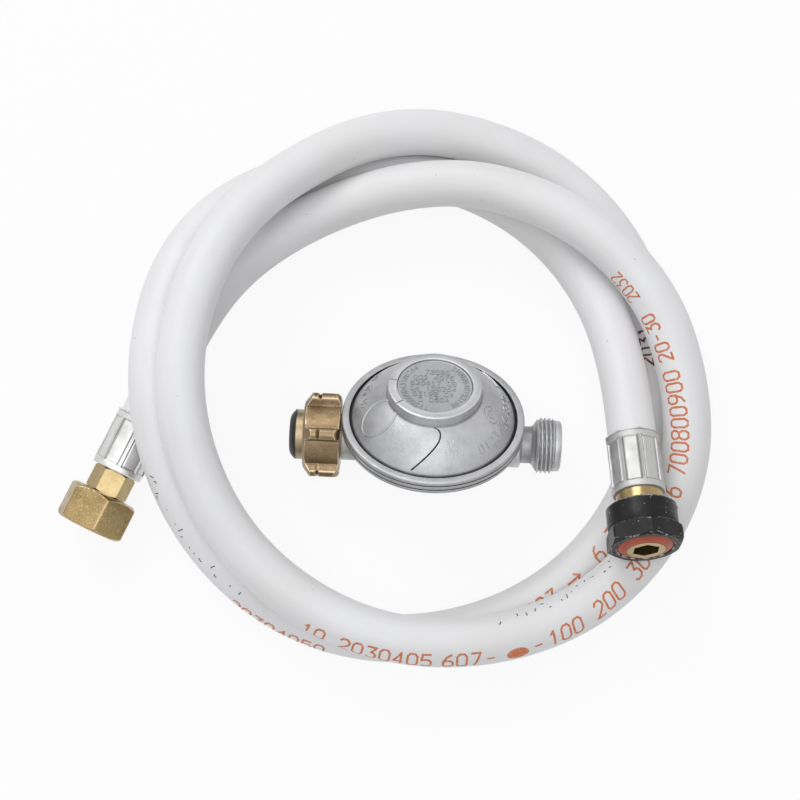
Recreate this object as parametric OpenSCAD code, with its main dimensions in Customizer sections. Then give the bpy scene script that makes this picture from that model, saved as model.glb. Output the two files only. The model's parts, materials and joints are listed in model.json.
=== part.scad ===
// Low-pressure gas regulator lying inside the loose coil of its rubber hose.
// The regulator stands by itself; the hose has a brass swivel nut on one end
// and a black swivel nut with a flat red seal on the other. Millimetres, +Z up.

/* [Hose] */
// Outside diameter of the rubber hose
hose_od = 17; // [15:0.5:17]
// Bore of the rubber hose
hose_bore = 10; // [8:0.5:11]

/* [Hose ends] */
// Sheet thickness of the ferrules
ferrule_wall = 0.7; // [0.5:0.1:1.2]
// Width of the uncrimped band at each end of a ferrule
ferrule_band = 2.6; // [1.5:0.1:4]
// How far the eight crimp flats are pressed in
crimp_depth = 0.5; // [0.3:0.1:0.8]
// Gas bore through the two inserts
insert_bore = 7; // [4:0.5:8]
// Length of the barbed tail of an insert inside the hose
insert_tail_l = 18.5; // [12:0.5:20]

/* [Brass end] */
// Length of the brass end's crimped ferrule
brass_ferrule_l = 21; // [20:0.5:26]
// Length of the insert's hexagon between ferrule and nut
brass_collar_l = 8.8; // [6:0.1:16]
// Size of that hexagon across its flats
brass_collar_af = 13.4; // [13.2:0.1:14.5]
// Size of the brass nut across its flats
brass_nut_af = 23; // [22.6:0.2:27]
// Length of the brass nut
brass_nut_l = 13.4; // [12.4:0.1:18]
// Turn of the brass nut about its own axis
brass_nut_turn = -23; // [-30:1:30]

/* [Black end] */
// Length of the black end's crimped ferrule
black_ferrule_l = 21.5; // [20:0.5:26]
// Length of the round brass ring between ferrule and nut
black_collar_l = 4.8; // [2:0.1:8]
// Diameter of that ring
black_collar_d = 16.5; // [15:0.1:17]
// Length of the round rear collar of the black nut
black_nut_collar_l = 8.2; // [6.5:0.1:12]
// Diameter of the round rear collar of the black nut
black_nut_collar_d = 24.4; // [23:0.1:27]
// Length of the hexagon of the black nut
black_nut_hex_l = 6.6; // [6.5:0.1:13]
// Size of the black nut across its flats
black_nut_af = 24.1; // [22.9:0.2:27.1]
// Turn of the black nut about its own axis
black_nut_turn = -5; // [-30:1:30]

/* [Regulator casting] */
// Diameter of the rolled rim that joins the two halves
rim_d = 65; // [62:0.5:72]
// Height of the rim along the diaphragm axis
rim_h = 5.2; // [4.6:0.1:7]
// Width of the rim's flat rolled lip
rim_lip_w = 2.6; // [1.5:0.1:3]
// Depth of the lower housing below the pipe axis
sump_h = 11.4; // [10:0.2:13]
// Radius of the flat under the lower housing
sump_r = 13.5; // [12:0.5:16]
// Wall of the lower housing
housing_wall = 1.3; // [1:0.1:1.6]
// Height of the pipe axis below the rim's lower edge
rim_above_axis = 7.2; // [6.5:0.1:8.5]
// Height of the domed part of the cover above the rim's lower edge
dome_h = 16.2; // [15:0.2:20]
// Wall of the cover
cover_wall = 2.4; // [1.8:0.1:3]
// How far the side of the dome bulges out from a straight cone
dome_bulge = 1.2; // [0.4:0.1:2]
// Diameter of the round boss on the cover
boss_d = 33; // [31:0.5:37]
// Height of the round boss above the dome
boss_h = 4.4; // [3:0.1:6]
// Diameter of the cap pressed into the boss
cap_d = 26.5; // [25:0.5:28]
// How far the cap lies below the top of the boss
cap_recess = 0.5; // [0.2:0.1:1]

/* [Regulator outlet] */
// Outside diameter of the outlet thread
outlet_thread_d = 20; // [19:0.1:22]
// Diameter of the outlet neck behind the thread
outlet_neck_d = 13.3; // [12:0.1:15]
// Diameter of the plain lead in front of the thread
outlet_lead_d = 18.2; // [17:0.1:18.4]
// Length of the threaded stretch of the outlet
outlet_thread_l = 5.1; // [4.8:0.1:8]
// Length of the plain lead
outlet_lead_l = 3.3; // [1:0.1:5]
// Diameter of the round boss behind the outlet neck
outlet_boss_d = 16.8; // [14:0.1:17]
// Bore of the outlet
outlet_bore = 10; // [6:0.5:10.5]

/* [Regulator inlet] */
// Length of the lugged union nut
union_l = 13.2; // [12.5:0.1:18]
// Diameter over the lugs of the union nut
union_d = 33.8; // [32:0.1:38]
// Diameter of the union nut between its lugs
union_body_d = 27; // [25:0.5:28]
// Number of lugs on the union nut
union_lugs = 6; // [4:1:8]
// Width of one lug
lug_w = 4.5; // [3:0.1:5.5]
// Turn of the union nut at rest, from one lug straight down
union_turn = 11; // [0:1:30]
// Diameter of the round boss that takes the inlet stem
inlet_boss_d = 17; // [15:0.1:17.4]
// Diameter of the inlet stem where the union nut turns on it
stem_d = 15; // [13:0.1:16]
// Diameter of the sealing flange on the inlet stem
stem_flange_d = 18; // [17.2:0.1:18.1]
// Thickness of that flange
stem_flange_l = 4.2; // [2:0.1:5]
// How far the flange stands out of the union nut
stem_out = 2.6; // [0.8:0.1:4]
// Length of the black nose seal
nose_seal_l = 2.5; // [2.2:0.1:6]

/* [Regulator inside] */
// Free travel of the diaphragm between valve open and valve shut
stroke = 1.8; // [1:0.1:2]
// Distance of the lever's pin from the diaphragm axis
lever_long = 11; // [10:0.1:11.4]
// Distance of the lever's pin below the pipe axis
lever_short = 4.2; // [4:0.1:4.6]
// Thickness of the rubber diaphragm
diaphragm_t = 0.6; // [0.4:0.1:0.8]
// Wire diameter of the main spring
spring_wire = 1.3; // [1:0.1:1.4]
// Outside diameter of the main spring
spring_od = 19; // [16:0.5:20]
// Turns of the main spring
spring_turns = 4; // [3:0.5:4.5]
// Diameter of the setting disc over the spring
setting_d = 22; // [21:0.2:23]

/* [Hidden] */
$fn = 64;

// Clearances
fit = 0.05;      // between pieces that sit in one another and stay there
running = 0.1;   // radial, between a piece that turns or slides and its guide
axial = 0.3;     // along the axis, between a turning nut and its shoulder
lift = 0.3;      // between a moving piece and what it only passes
eps = 0.01;

// Threads: minor radius, major radius, pitch
M20 = [9.19, 10, 1.5];
G_HALF = [9.32, 10.48, 1.814];

// Route of the hose's centre line from the brass end to the black end.
// Two and a half loose turns, clockwise seen from above.
route = [
    // first turn: over the floor on the left, up across the other strands
    [-101.5, 2, 19.5], [-94, 17, 21.5], [-85.5, 36.5, 20], [-74.5, 55.5, 16.5],
    [-59.5, 69.5, 15.5], [-41.5, 79.5, 18], [-20.5, 86.5, 22.5], [-0.5, 89.5, 26],
    [19.5, 88.5, 29], [39.5, 81.5, 32], [58.5, 70.5, 34], [74.5, 55.5, 33.5], [86.5, 37.5, 30.5],
    [92.5, 15.5, 27], [94.5, -7.5, 23.5], [88.5, -29.5, 20.5], [76.5, -48.5, 20],
    [57.5, -65.5, 21.5], [34.5, -75.5, 24], [10.5, -79.5, 26],
    // second turn: high on the left, down to the floor at the back
    [-14.5, -77.5, 27], [-37.5, -68.5, 28.5], [-58.5, -53.5, 32.5], [-73.5, -34.5, 39],
    [-82.5, -12.5, 47], [-85.5, 9.5, 52.5], [-83.5, 31.5, 52.5], [-76.5, 54.5, 48],
    [-64.5, 75.5, 41], [-46.5, 92.5, 33.5], [-25.5, 106.5, 26.5], [-1.5, 112.7, 21.2],
    [22.5, 110.2, 15.4], [44.5, 102.3, 9.6], [62.5, 87.5, 8.5], [77.5, 65.5, 8.5],
    [84.5, 39.5, 8.5], [84.5, 12.5, 8.5], [80.5, -12.5, 8.5], [70.5, -33.5, 8.5],
    [54.5, -52.5, 8.5], [33.5, -66.5, 8.5], [9.5, -74.5, 8.5],
    // last half turn: under the second turn, then up to the black end
    [-16.5, -76.5, 8.5], [-41.5, -70.5, 8.5], [-63.5, -57.5, 12], [-80.5, -39.5, 20.5],
    [-91.5, -17.5, 31], [-96.5, 5.5, 38.7], [-95.5, 29.5, 40], [-90.5, 53.5, 35.5],
    [-78.5, 75.5, 27], [-59.5, 91.5, 18], [-37.5, 99.5, 10.5], [-11.5, 100.5, 8.5],
    [12.5, 97.3, 8.5], [36.5, 84.5, 9], [53.5, 66.5, 13.5], [65.5, 43.5, 20.5],
    [71, 17.5, 28.5], [72.4, -8.5, 35]];
last = len(route) - 1;
hose_sides = 12;

function unit(v) = v / norm(v);
// Route point i, with one point mirrored past each end so that the ends run out straight
function knot(p, i) =
    i < 0 ? 2 * p[0] - p[1] :
    i > len(p) - 1 ? 2 * p[len(p) - 1] - p[len(p) - 2] : p[i];
// Smooth curve (uniform cubic B-spline) over the route, and its direction
function smooth(p, i) = (knot(p, i - 1) + 4 * p[i] + knot(p, i + 1)) / 6;
function heading(p, i) = unit(knot(p, i + 1) - knot(p, i - 1));
// Points of a round tube: one ring at each place, square to its heading
function rings(places, headings, r, sides) = [
    for (i = [0 : len(places) - 1])
        let (side = unit(cross(headings[i], [0, 0, 1])), top = cross(side, headings[i]))
        for (k = [0 : sides - 1])
            places[i] + r * (cos(360 * k / sides) * top + sin(360 * k / sides) * side)];
function skin(n, sides) = concat(
    [[for (k = [0 : sides - 1]) k]],
    [for (i = [0 : n - 2], k = [0 : sides - 1])
        let (a = i * sides + k, b = i * sides + (k + 1) % sides)
        [a, a + sides, b + sides, b]],
    [[for (k = [sides - 1 : -1 : 0]) (n - 1) * sides + k]]);

// Brass end and black end: origin on the ferrule's mouth, +Z towards the open nut, -X upwards
hose_r = hose_od / 2;
brass_dir = -heading(route, 0);
black_dir = heading(route, last);
module brass_frame() {
    translate(route[0])
        rotate([0, acos(brass_dir[2]), atan2(brass_dir[1], brass_dir[0])]) children();
}
module black_frame() {
    translate(route[last])
        rotate([0, acos(black_dir[2]), atan2(black_dir[1], black_dir[0])]) children();
}

// Ferrules and inserts
ferrule_r = hose_r + fit + ferrule_wall;
crimp_r = ferrule_r - crimp_depth;
crimp_bore_r = crimp_r - ferrule_wall;
ferrule_end = 1.5;
tail_r = hose_bore / 2 + 0.3;
neck_r = tail_r + 1.2;
barb = 0.35;

// Brass nut, places along its end's axis
brass_nut_z = brass_ferrule_l + brass_collar_l + 0.2;
brass_shoulder_l = 3;
brass_shoulder_z = brass_nut_z + brass_shoulder_l;
brass_shank_r = 8.4;
mouth_bevel = 1.2;
brass_flange_r = G_HALF[0] - 0.17;
brass_flange_l = 2;
gasket_l = 2;
relief_l = brass_flange_l + gasket_l + 0.2;
gasket_bore_r = 5;
brass_collar_turn = 16;
brass_collar_bevel = 0.9;

// Black nut, places along its end's axis
black_nut_z = black_ferrule_l + black_collar_l;
black_hex_z = black_nut_z + black_nut_collar_l;
black_face_z = black_hex_z + black_nut_hex_l;
black_shank_r = black_collar_d / 2;
black_flange_r = M20[0] - 0.17;
black_flange_l = 2.1;
seal_l = 2.2;
seal_under = 0.3;
black_seal_r = M20[0] + 0.45;
mouth_l = seal_l + seal_under + 0.3;
black_seal_z = black_face_z - seal_under - seal_l;
black_shoulder_z = black_seal_z - black_flange_l - 3;
nipple_r = 6.6;
socket_r = 4.9;
seal_rise = 1.1;
nipple_rise = seal_rise + 0.1;
socket_l = 6;

// Regulator: X along the pipe axis from inlet to outlet, Z along the diaphragm axis
rim_r = rim_d / 2;
rim_z = rim_above_axis;
rim_top = rim_z + rim_h;
rim_bevel = 0.4;
lip_r = rim_r - rim_lip_w;
lip_t = 1.5;
seat_r = rim_r - 1.2;
ledge_r = seat_r - 4.3;
ledge_z = rim_z + 1.2;
flange_z = ledge_z + diaphragm_t;
flange_top = rim_top - lip_t;
dome_r = lip_r - 0.8;
dome_foot = flange_top + 1;
boss_r = boss_d / 2;
dome_top = rim_z + dome_h;
boss_top = dome_top + boss_h;
boss_step = 0.5;
cap_r = cap_d / 2;
cap_t = 2.2;
cap_z = boss_top - cap_recess - cap_t;
setting_r = setting_d / 2;
setting_t = 3.4;
setting_z = cap_z - 1.2 - setting_t;
bore_z = setting_z - 1;
breather_w = 1.2;
breather_d = 0.8;

// Lower housing and its pipes
sump_floor = -sump_h + 3;
spigot_x = rim_r;
boss_in_x = sump_r + 2;
boss_roof = ledge_z - 0.5;
nozzle_face = 21;
nozzle_shank_l = 4.5;
outlet_bore_x = rim_r - 14;
stem_thread_r = 6;
stem_thread_l = 7.8;
outlet_neck_x = rim_r + 2.7;
outlet_thread_x = rim_r + 5.2;
outlet_lead_x = outlet_thread_x + outlet_thread_l;
outlet_end_x = outlet_lead_x + outlet_lead_l;
outlet_bore_r = outlet_bore / 2;

// Union nut and inlet stem, places left of the diaphragm axis
union_x = rim_r + 0.4;
union_face_x = union_x + union_l;
union_shoulder_x = union_x + 5.1;
stem_r = stem_d / 2;
flange_out_x = union_face_x + stem_out;
flange_in_x = flange_out_x - stem_flange_l;
nose_r = 5.5;
nose_x = flange_out_x + nose_seal_l - 0.8;
tip_x = flange_out_x + nose_seal_l;
stem_bore_r = 3.2;
filter_r = 4;
filter_l = 2;

// Valve gear
pin_r = 0.8;
hub_r = 1.4;
arm_t = 1.2;
arm_w = 1.6;
shank_r = 2.5;
sleeve_r = 3.5;
plunger_r = 2.3;
guide_r = plunger_r + running;
pad_r = 1.7;
pad_t = 1;
orifice_r = 0.6;
lip_seat_r = 1.1;
lip_seat_l = 0.8;
lever_angle = atan(stroke / lever_long);
plunger_travel = lever_short * tan(lever_angle);
hex_flange_l = 1.5;
seat_x = -nozzle_face + hex_flange_l + lip_seat_l;
pad_face = seat_x + plunger_travel + 0.1;
sleeve_end = -lever_long - 2.9;
ear_in = plunger_r + lift;
ear_out = ear_in + 1.2;
ear_back = 4.9;
ear_z = -lever_short - 1.5;
pocket_r = sleeve_r + 0.8;
pocket_end = lever_long;
pocket_z = ear_z - 0.5;
stem_slot_r = 1.1;
lift_stem_r = 2.2;
stem_collar_r = 4.5;
rivet_r = 4.4;
lift_stem_low = -lever_short - 2.1;
slot_play = 0.55;

// Diaphragm set, drawn at its lowest, with the valve open
plate_r = 16;
plate_t = 0.8;
dish_z = ledge_z - 0.8;
plate_z = dish_z - plate_t;
spring_plate_z = dish_z + diaphragm_t;
spring_plate_t = 1;
spring_foot = spring_plate_z + spring_plate_t;

// The regulator leans away on its side, on a lug of the union nut and the edge of the lower housing
union_r = union_d / 2;
outlet_r = outlet_thread_d / 2;
tilt = 32.3;
yaw = -2.75;
lug_off = min([for (i = [0 : union_lugs - 1])
    abs(180 - (360 + 360 * i / union_lugs - union_turn) % 360)]);
axis_h = max(union_r * cos(max(0, lug_off - asin(lug_w / 2 / union_r))), outlet_r,
             sump_h * cos(tilt) + sump_r * sin(tilt),
             rim_r * sin(tilt) - rim_z * cos(tilt));
centre_x = (tip_x - outlet_end_x) / 2;
centre_y = -(rim_z + rim_top - rim_bevel) / 2 * sin(tilt);
module regulator_frame() {
    translate([centre_x, centre_y, axis_h]) rotate([0, 0, yaw]) rotate([-tilt, 0, 0]) children();
}
// Turns +Z to +X or to -X of the regulator, for what lies along the pipe axis
module to_outlet(x) { translate([x, 0, 0]) rotate([0, 90, 0]) children(); }
module to_inlet(x) { translate([-x, 0, 0]) rotate([0, -90, 0]) children(); }

// A straight ring of material
module ring(r_out, r_in, h) {
    difference() {
        cylinder(r = r_out, h = h);
        translate([0, 0, -eps]) cylinder(r = r_in, h = h + 2 * eps);
    }
}
// A hexagonal bar given across its flats
module hexagon(af, h) { cylinder(r = af / 2 / cos(30), h = h, $fn = 6); }
// A disc with both rims bevelled, which takes the corners off a hexagon or off lugs
module bevelled(r, h, bevel) {
    rotate_extrude()
        polygon([[0, 0], [r - bevel, 0], [r, bevel * 0.6], [r, h - bevel * 0.6], [r - bevel, h], [0, h]]);
}
// Rings of an outside thread to cut away, with a whole crest left at z0
module outside_grooves(crest_r, depth, pitch, z0, z1) {
    foot = 0.08 * pitch;
    flank = foot + (depth + 0.2) * tan(30);
    for (z = [z0 + 0.15 + pitch / 2 : pitch : z1 - pitch / 3])
        translate([0, 0, z]) rotate_extrude()
            polygon([[crest_r - depth, -foot], [crest_r + 0.2, -flank],
                     [crest_r + 0.2, flank], [crest_r - depth, foot]]);
}
// Rings of an inside thread to cut away between z0 and z1
module inside_grooves(thread, z0, z1) {
    foot = 0.1 * thread[2];
    flank = foot + (thread[1] - thread[0] + 0.2) * tan(28);
    for (z = [z0 + thread[2] / 2 : thread[2] : z1 - thread[2] / 3])
        translate([0, 0, z]) rotate_extrude()
            polygon([[thread[0] - 0.2, -flank], [thread[1], -foot],
                     [thread[1], foot], [thread[0] - 0.2, flank]]);
}

// ---- Hose and its two ends ----
module hose() {
    places = [for (i = [0 : last]) smooth(route, i)];
    headings = [for (i = [0 : last]) heading(route, i)];
    color("whitesmoke")
        polyhedron(rings(places, headings, hose_r, hose_sides), skin(last + 1, hose_sides), convexity = 10);
}
// End of the rubber, squeezed between insert and ferrule
module hose_tail(ferrule_l) {
    rubber_l = ferrule_l - ferrule_end - 0.1;
    color("gainsboro") difference() {
        union() {
            cylinder(r = hose_r, h = ferrule_band);
            translate([0, 0, ferrule_band - eps])
                cylinder(r = crimp_bore_r - fit, h = rubber_l - ferrule_band + eps);
        }
        translate([0, 0, -eps]) cylinder(r = tail_r + fit, h = rubber_l + 2 * eps);
    }
}
// Round bands at both ends and eight pressed flats between them
module ferrule(ferrule_l) {
    color("silver") difference() {
        union() {
            cylinder(r = ferrule_r, h = ferrule_band);
            translate([0, 0, ferrule_band - 0.6])
                cylinder(r = crimp_r / cos(22.5), h = ferrule_l - 2 * ferrule_band + 1.2, $fn = 8);
            translate([0, 0, ferrule_l - ferrule_band]) cylinder(r = ferrule_r, h = ferrule_band);
        }
        translate([0, 0, -eps]) cylinder(r = hose_r + fit, h = ferrule_band + eps);
        cylinder(r = crimp_bore_r, h = ferrule_l - ferrule_end);
        translate([0, 0, -eps]) cylinder(r = neck_r + fit, h = ferrule_l + 1);
    }
}
// Barbed tail and the neck under the ferrule's end wall, common to both inserts
module insert_tail(ferrule_l) {
    start = ferrule_l - ferrule_end - insert_tail_l;
    difference() {
        translate([0, 0, start]) cylinder(r = tail_r, h = insert_tail_l + 0.5);
        for (z = [start + 3 : 4 : ferrule_l - 5])
            translate([0, 0, z]) ring(tail_r + 1, tail_r - barb, 1.5);
    }
    translate([0, 0, ferrule_l - ferrule_end]) cylinder(r = neck_r, h = ferrule_end + eps);
}
module brass_insert() {
    top = brass_shoulder_z + axial + brass_flange_l;
    shank_z = brass_ferrule_l + brass_collar_l;
    color("darkgoldenrod") difference() {
        union() {
            insert_tail(brass_ferrule_l);
            translate([0, 0, brass_ferrule_l]) intersection() {
                rotate([0, 0, brass_collar_turn]) hexagon(brass_collar_af, brass_collar_l);
                bevelled(brass_collar_af / 2 / cos(30), brass_collar_l, brass_collar_bevel);
            }
            translate([0, 0, shank_z - eps]) cylinder(r = brass_shank_r, h = top - shank_z - 1);
            translate([0, 0, brass_shoulder_z + axial])
                cylinder(r = brass_flange_r, h = brass_flange_l);
        }
        translate([0, 0, -eps]) cylinder(d = insert_bore, h = top + 1);
    }
}
module brass_gasket() {
    color("dimgray")
        translate([0, 0, brass_shoulder_z + axial + brass_flange_l])
            ring(brass_flange_r - fit, gasket_bore_r, gasket_l);
}
module brass_nut_body() {
    color("goldenrod") translate([0, 0, brass_nut_z]) difference() {
        intersection() {
            rotate([0, 0, brass_nut_turn]) hexagon(brass_nut_af, brass_nut_l);
            bevelled(brass_nut_af / 2 / cos(30) - 0.3, brass_nut_l, 1.3);
        }
        translate([0, 0, -eps]) cylinder(r = brass_shank_r + running, h = brass_nut_l);
        // room for flange and gasket, then the thread
        translate([0, 0, brass_shoulder_l]) cylinder(r = G_HALF[1] + 0.05, h = relief_l);
        translate([0, 0, brass_shoulder_l]) cylinder(r = G_HALF[0], h = brass_nut_l);
        inside_grooves(G_HALF, brass_shoulder_l + relief_l, brass_nut_l - 1);
        translate([0, 0, brass_nut_l - mouth_bevel])
            cylinder(r1 = G_HALF[0], r2 = G_HALF[1] + 0.2, h = mouth_bevel + eps);
    }
}
module black_insert() {
    top = black_seal_z + seal_l + nipple_rise;
    color("darkgoldenrod") difference() {
        union() {
            insert_tail(black_ferrule_l);
            translate([0, 0, black_ferrule_l])
                cylinder(r = black_shank_r, h = black_seal_z - black_ferrule_l);
            translate([0, 0, black_seal_z - black_flange_l])
                cylinder(r = black_flange_r, h = black_flange_l);
            translate([0, 0, black_seal_z - eps])
                cylinder(r = nipple_r, h = seal_l + nipple_rise + eps);
        }
        translate([0, 0, -eps]) cylinder(d = insert_bore, h = top + 1);
        translate([0, 0, top - socket_l]) cylinder(r = socket_r, h = socket_l + 1, $fn = 6);
    }
}
module black_seal() {
    // washer whose face rises towards the nipple
    color("orangered") translate([0, 0, black_seal_z]) rotate_extrude()
        polygon([[nipple_r + fit, 0], [black_seal_r, 0], [black_seal_r, seal_l - 0.2],
                 [black_seal_r - 0.3, seal_l], [nipple_r + 0.8, seal_l + seal_rise],
                 [nipple_r + fit, seal_l + seal_rise]]);
}
module black_nut_body() {
    color("dimgray") difference() {
        union() {
            translate([0, 0, black_nut_z]) bevelled(black_nut_collar_d / 2, black_nut_collar_l + eps, 0.8);
            intersection() {
                translate([0, 0, black_hex_z]) rotate([0, 0, black_nut_turn])
                    hexagon(black_nut_af, black_nut_hex_l);
                translate([0, 0, black_hex_z])
                    bevelled(black_nut_af / 2 / cos(30), black_nut_hex_l, 1.6);
            }
        }
        translate([0, 0, black_nut_z - eps])
            cylinder(r = black_shank_r + running, h = black_nut_collar_l + black_nut_hex_l);
        translate([0, 0, black_shoulder_z]) cylinder(r = M20[0], h = black_face_z);
        inside_grooves(M20, black_shoulder_z + 0.4, black_face_z - mouth_l);
        // plain mouth around the seal
        translate([0, 0, black_face_z - mouth_l]) cylinder(r = black_seal_r + running, h = mouth_l + 1);
        translate([0, 0, black_face_z - 0.4])
            cylinder(r1 = black_seal_r + running, r2 = M20[1] + 0.2, h = 0.4 + eps);
    }
}

// ---- Regulator casting ----
module lower_housing() {
    color("silver") regulator_frame() difference() {
        union() {
            rotate_extrude()
                polygon([[0, -sump_h], [sump_r, -sump_h], [rim_r - 0.6, rim_z - 0.4], [rim_r, rim_z],
                         [rim_r, rim_top - rim_bevel], [rim_r - rim_bevel, rim_top], [0, rim_top]]);
            to_inlet(boss_in_x) cylinder(d = inlet_boss_d, h = spigot_x - boss_in_x);
            to_outlet(boss_in_x) cylinder(d = outlet_boss_d, h = rim_r - 0.8 - boss_in_x);
            to_outlet(rim_r - 1) cylinder(d = outlet_neck_d, h = outlet_thread_x - rim_r + 1);
            to_outlet(outlet_neck_x)
                cylinder(d1 = outlet_neck_d, d2 = outlet_thread_d - 1, h = outlet_thread_x - outlet_neck_x);
            to_outlet(outlet_thread_x) cylinder(d = outlet_thread_d, h = outlet_thread_l);
            to_outlet(outlet_lead_x) cylinder(d = outlet_lead_d, h = outlet_lead_l);
        }
        // seat of the cover, open under the rolled lip
        translate([0, 0, ledge_z]) cylinder(r = seat_r, h = flange_top - ledge_z);
        translate([0, 0, ledge_z]) cylinder(r = lip_r, h = rim_h);
        housing_cavity();
        // pockets in the floor for the nozzle and for the ears that hold the lever's pin
        to_inlet(pocket_end) cylinder(r = pocket_r, h = nozzle_face - pocket_end);
        translate([-lever_long - ear_back - 0.6, -ear_out - 0.4, pocket_z])
            cube([ear_back + 3.5, 2 * ear_out + 0.8, -pocket_z]);
        to_outlet(outlet_bore_x) cylinder(r = outlet_bore_r, h = outlet_end_x);
        to_inlet(nozzle_face - 1) cylinder(r = shank_r + fit, h = nozzle_shank_l + 1.5);
        to_inlet(nozzle_face + 4) cylinder(r = stem_bore_r, h = spigot_x - stem_thread_l - nozzle_face);
        to_inlet(spigot_x - stem_thread_l) cylinder(r = stem_thread_r + fit, h = stem_thread_l + 1);
        to_outlet(0) outside_grooves(outlet_r, 0.8, 1.5, outlet_thread_x, outlet_lead_x);
    }
}
// Gas space of the lower housing, around the boss that carries the nozzle
module housing_cavity() {
    slope = (rim_z - 0.4 + sump_h) / (rim_r - 0.6 - sump_r);
    inset = housing_wall * sqrt(1 + slope * slope);
    floor_r = sump_r + (sump_floor - inset + sump_h) / slope;
    top_z = slope * (ledge_r - sump_r) - sump_h + inset;
    difference() {
        rotate_extrude()
            polygon([[0, sump_floor], [floor_r, sump_floor], [ledge_r, top_z],
                     [ledge_r, ledge_z + eps], [0, ledge_z + eps]]);
        intersection() {
            to_inlet(nozzle_face) cylinder(d = inlet_boss_d, h = rim_r);
            translate([-rim_r, -rim_r, -rim_r]) cube([rim_r, 2 * rim_r, rim_r + boss_roof]);
        }
    }
}
// Side of the dome from its foot to the boss: bulges by dome_bulge, set in by the wall inside
function dome_side(inset, n) =
    let (foot = [dome_r, dome_foot], chord = [boss_r + boss_step, dome_top] - foot,
         out = [chord[1], -chord[0]] / norm(chord))
    [for (i = [0 : n])
        foot + chord * i / n + out * (4 * dome_bulge * i / n * (1 - i / n) - inset)];
module upper_cover() {
    outer = dome_side(0, 10);
    inner = dome_side(cover_wall, 10);
    collar_r = setting_r + 2.4;
    color("silver") regulator_frame() difference() {
        rotate_extrude() polygon(concat(
            [[ledge_r, flange_z], [seat_r - fit, flange_z], [seat_r - fit, flange_top - fit],
             [dome_r, flange_top - fit]],
            outer,
            [[boss_r, dome_top + 0.3], [boss_r, boss_top - 0.6], [boss_r - 0.6, boss_top],
             [cap_r + fit, boss_top], [cap_r + fit, cap_z], [setting_r + fit, cap_z],
             [setting_r + fit, bore_z], [collar_r, bore_z], [collar_r, inner[10][1]]],
            [for (i = [10 : -1 : 0]) inner[i]]));
        // two breather slots beside the cap
        for (a = [172, 212]) rotate([0, 0, a])
            translate([cap_r - 1, -breather_w / 2, boss_top - breather_d])
                cube([boss_r, breather_w, breather_d + 1]);
    }
}
module top_cap() {
    color("darkgray") regulator_frame() translate([0, 0, cap_z]) bevelled(cap_r, cap_t, 0.3);
}
module setting_disc() {
    color("goldenrod") regulator_frame() translate([0, 0, setting_z]) difference() {
        cylinder(r = setting_r, h = setting_t);
        translate([0, 0, setting_t - 2.5]) cylinder(r = 4, h = 3, $fn = 6);
        translate([0, 0, -eps]) cylinder(r = 3.5, h = 2);
    }
}

// ---- Diaphragm set ----
module main_spring() {
    n = spring_turns * 12;
    mean_r = (spring_od - spring_wire) / 2;
    z0 = spring_foot + spring_wire / 2 + fit;
    z1 = setting_z - spring_wire / 2 - fit;
    path = [for (i = [0 : n]) [mean_r * cos(30 * i), mean_r * sin(30 * i), z0 + (z1 - z0) * i / n]];
    color("lightsteelblue") regulator_frame()
        polyhedron(rings(path, [for (i = [0 : n]) heading(path, i)], spring_wire / 2, 8),
                   skin(n + 1, 8), convexity = 10);
}
module spring_plate() {
    color("lightgray") regulator_frame() translate([0, 0, spring_plate_z]) difference() {
        union() {
            cylinder(r = plate_r - 1, h = spring_plate_t);
            // collar that keeps the spring central
            cylinder(r = spring_od / 2 - spring_wire - 0.4, h = spring_plate_t + 1.6);
        }
        translate([0, 0, -eps]) cylinder(r = 3 + fit, h = 4);
    }
}
module diaphragm() {
    t = diaphragm_t;
    color("dimgray") regulator_frame() difference() {
        rotate_extrude()
            polygon([[0, dish_z], [plate_r + 1, dish_z], [plate_r + 4, dish_z + 1.6], [ledge_r - 3, dish_z + 1.6],
                     [ledge_r - 1, ledge_z], [seat_r - fit, ledge_z], [seat_r - fit, ledge_z + t],
                     [ledge_r - 1.4, ledge_z + t], [ledge_r - 3.2, dish_z + 1.6 + t],
                     [plate_r + 3.7, dish_z + 1.6 + t], [plate_r + 0.8, dish_z + t], [0, dish_z + t]]);
        translate([0, 0, dish_z - 1]) cylinder(r = 3 + fit, h = 3);
    }
}
module diaphragm_plate() {
    color("lightgray") regulator_frame() translate([0, 0, plate_z]) ring(plate_r, 3 + fit, plate_t);
}
// Stem with a window for the lever, a collar under the plates and a riveted head on them
module diaphragm_stem() {
    head_z = spring_plate_z + spring_plate_t + 1.6;
    color("goldenrod") regulator_frame() difference() {
        union() {
            translate([0, 0, lift_stem_low]) cylinder(r = lift_stem_r, h = plate_z - lift_stem_low);
            translate([0, 0, plate_z - 1.2]) cylinder(r = stem_collar_r, h = 1.2);
            translate([0, 0, plate_z - eps]) cylinder(r = 3, h = head_z - plate_z + 0.6);
            translate([0, 0, head_z]) cylinder(r = rivet_r, h = 1);
        }
        translate([-lift_stem_r - 1, -stem_slot_r, -lever_short - arm_t / 2 - slot_play])
            cube([2 * lift_stem_r + 2, 2 * stem_slot_r, arm_t + 2 * slot_play]);
    }
}

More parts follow.
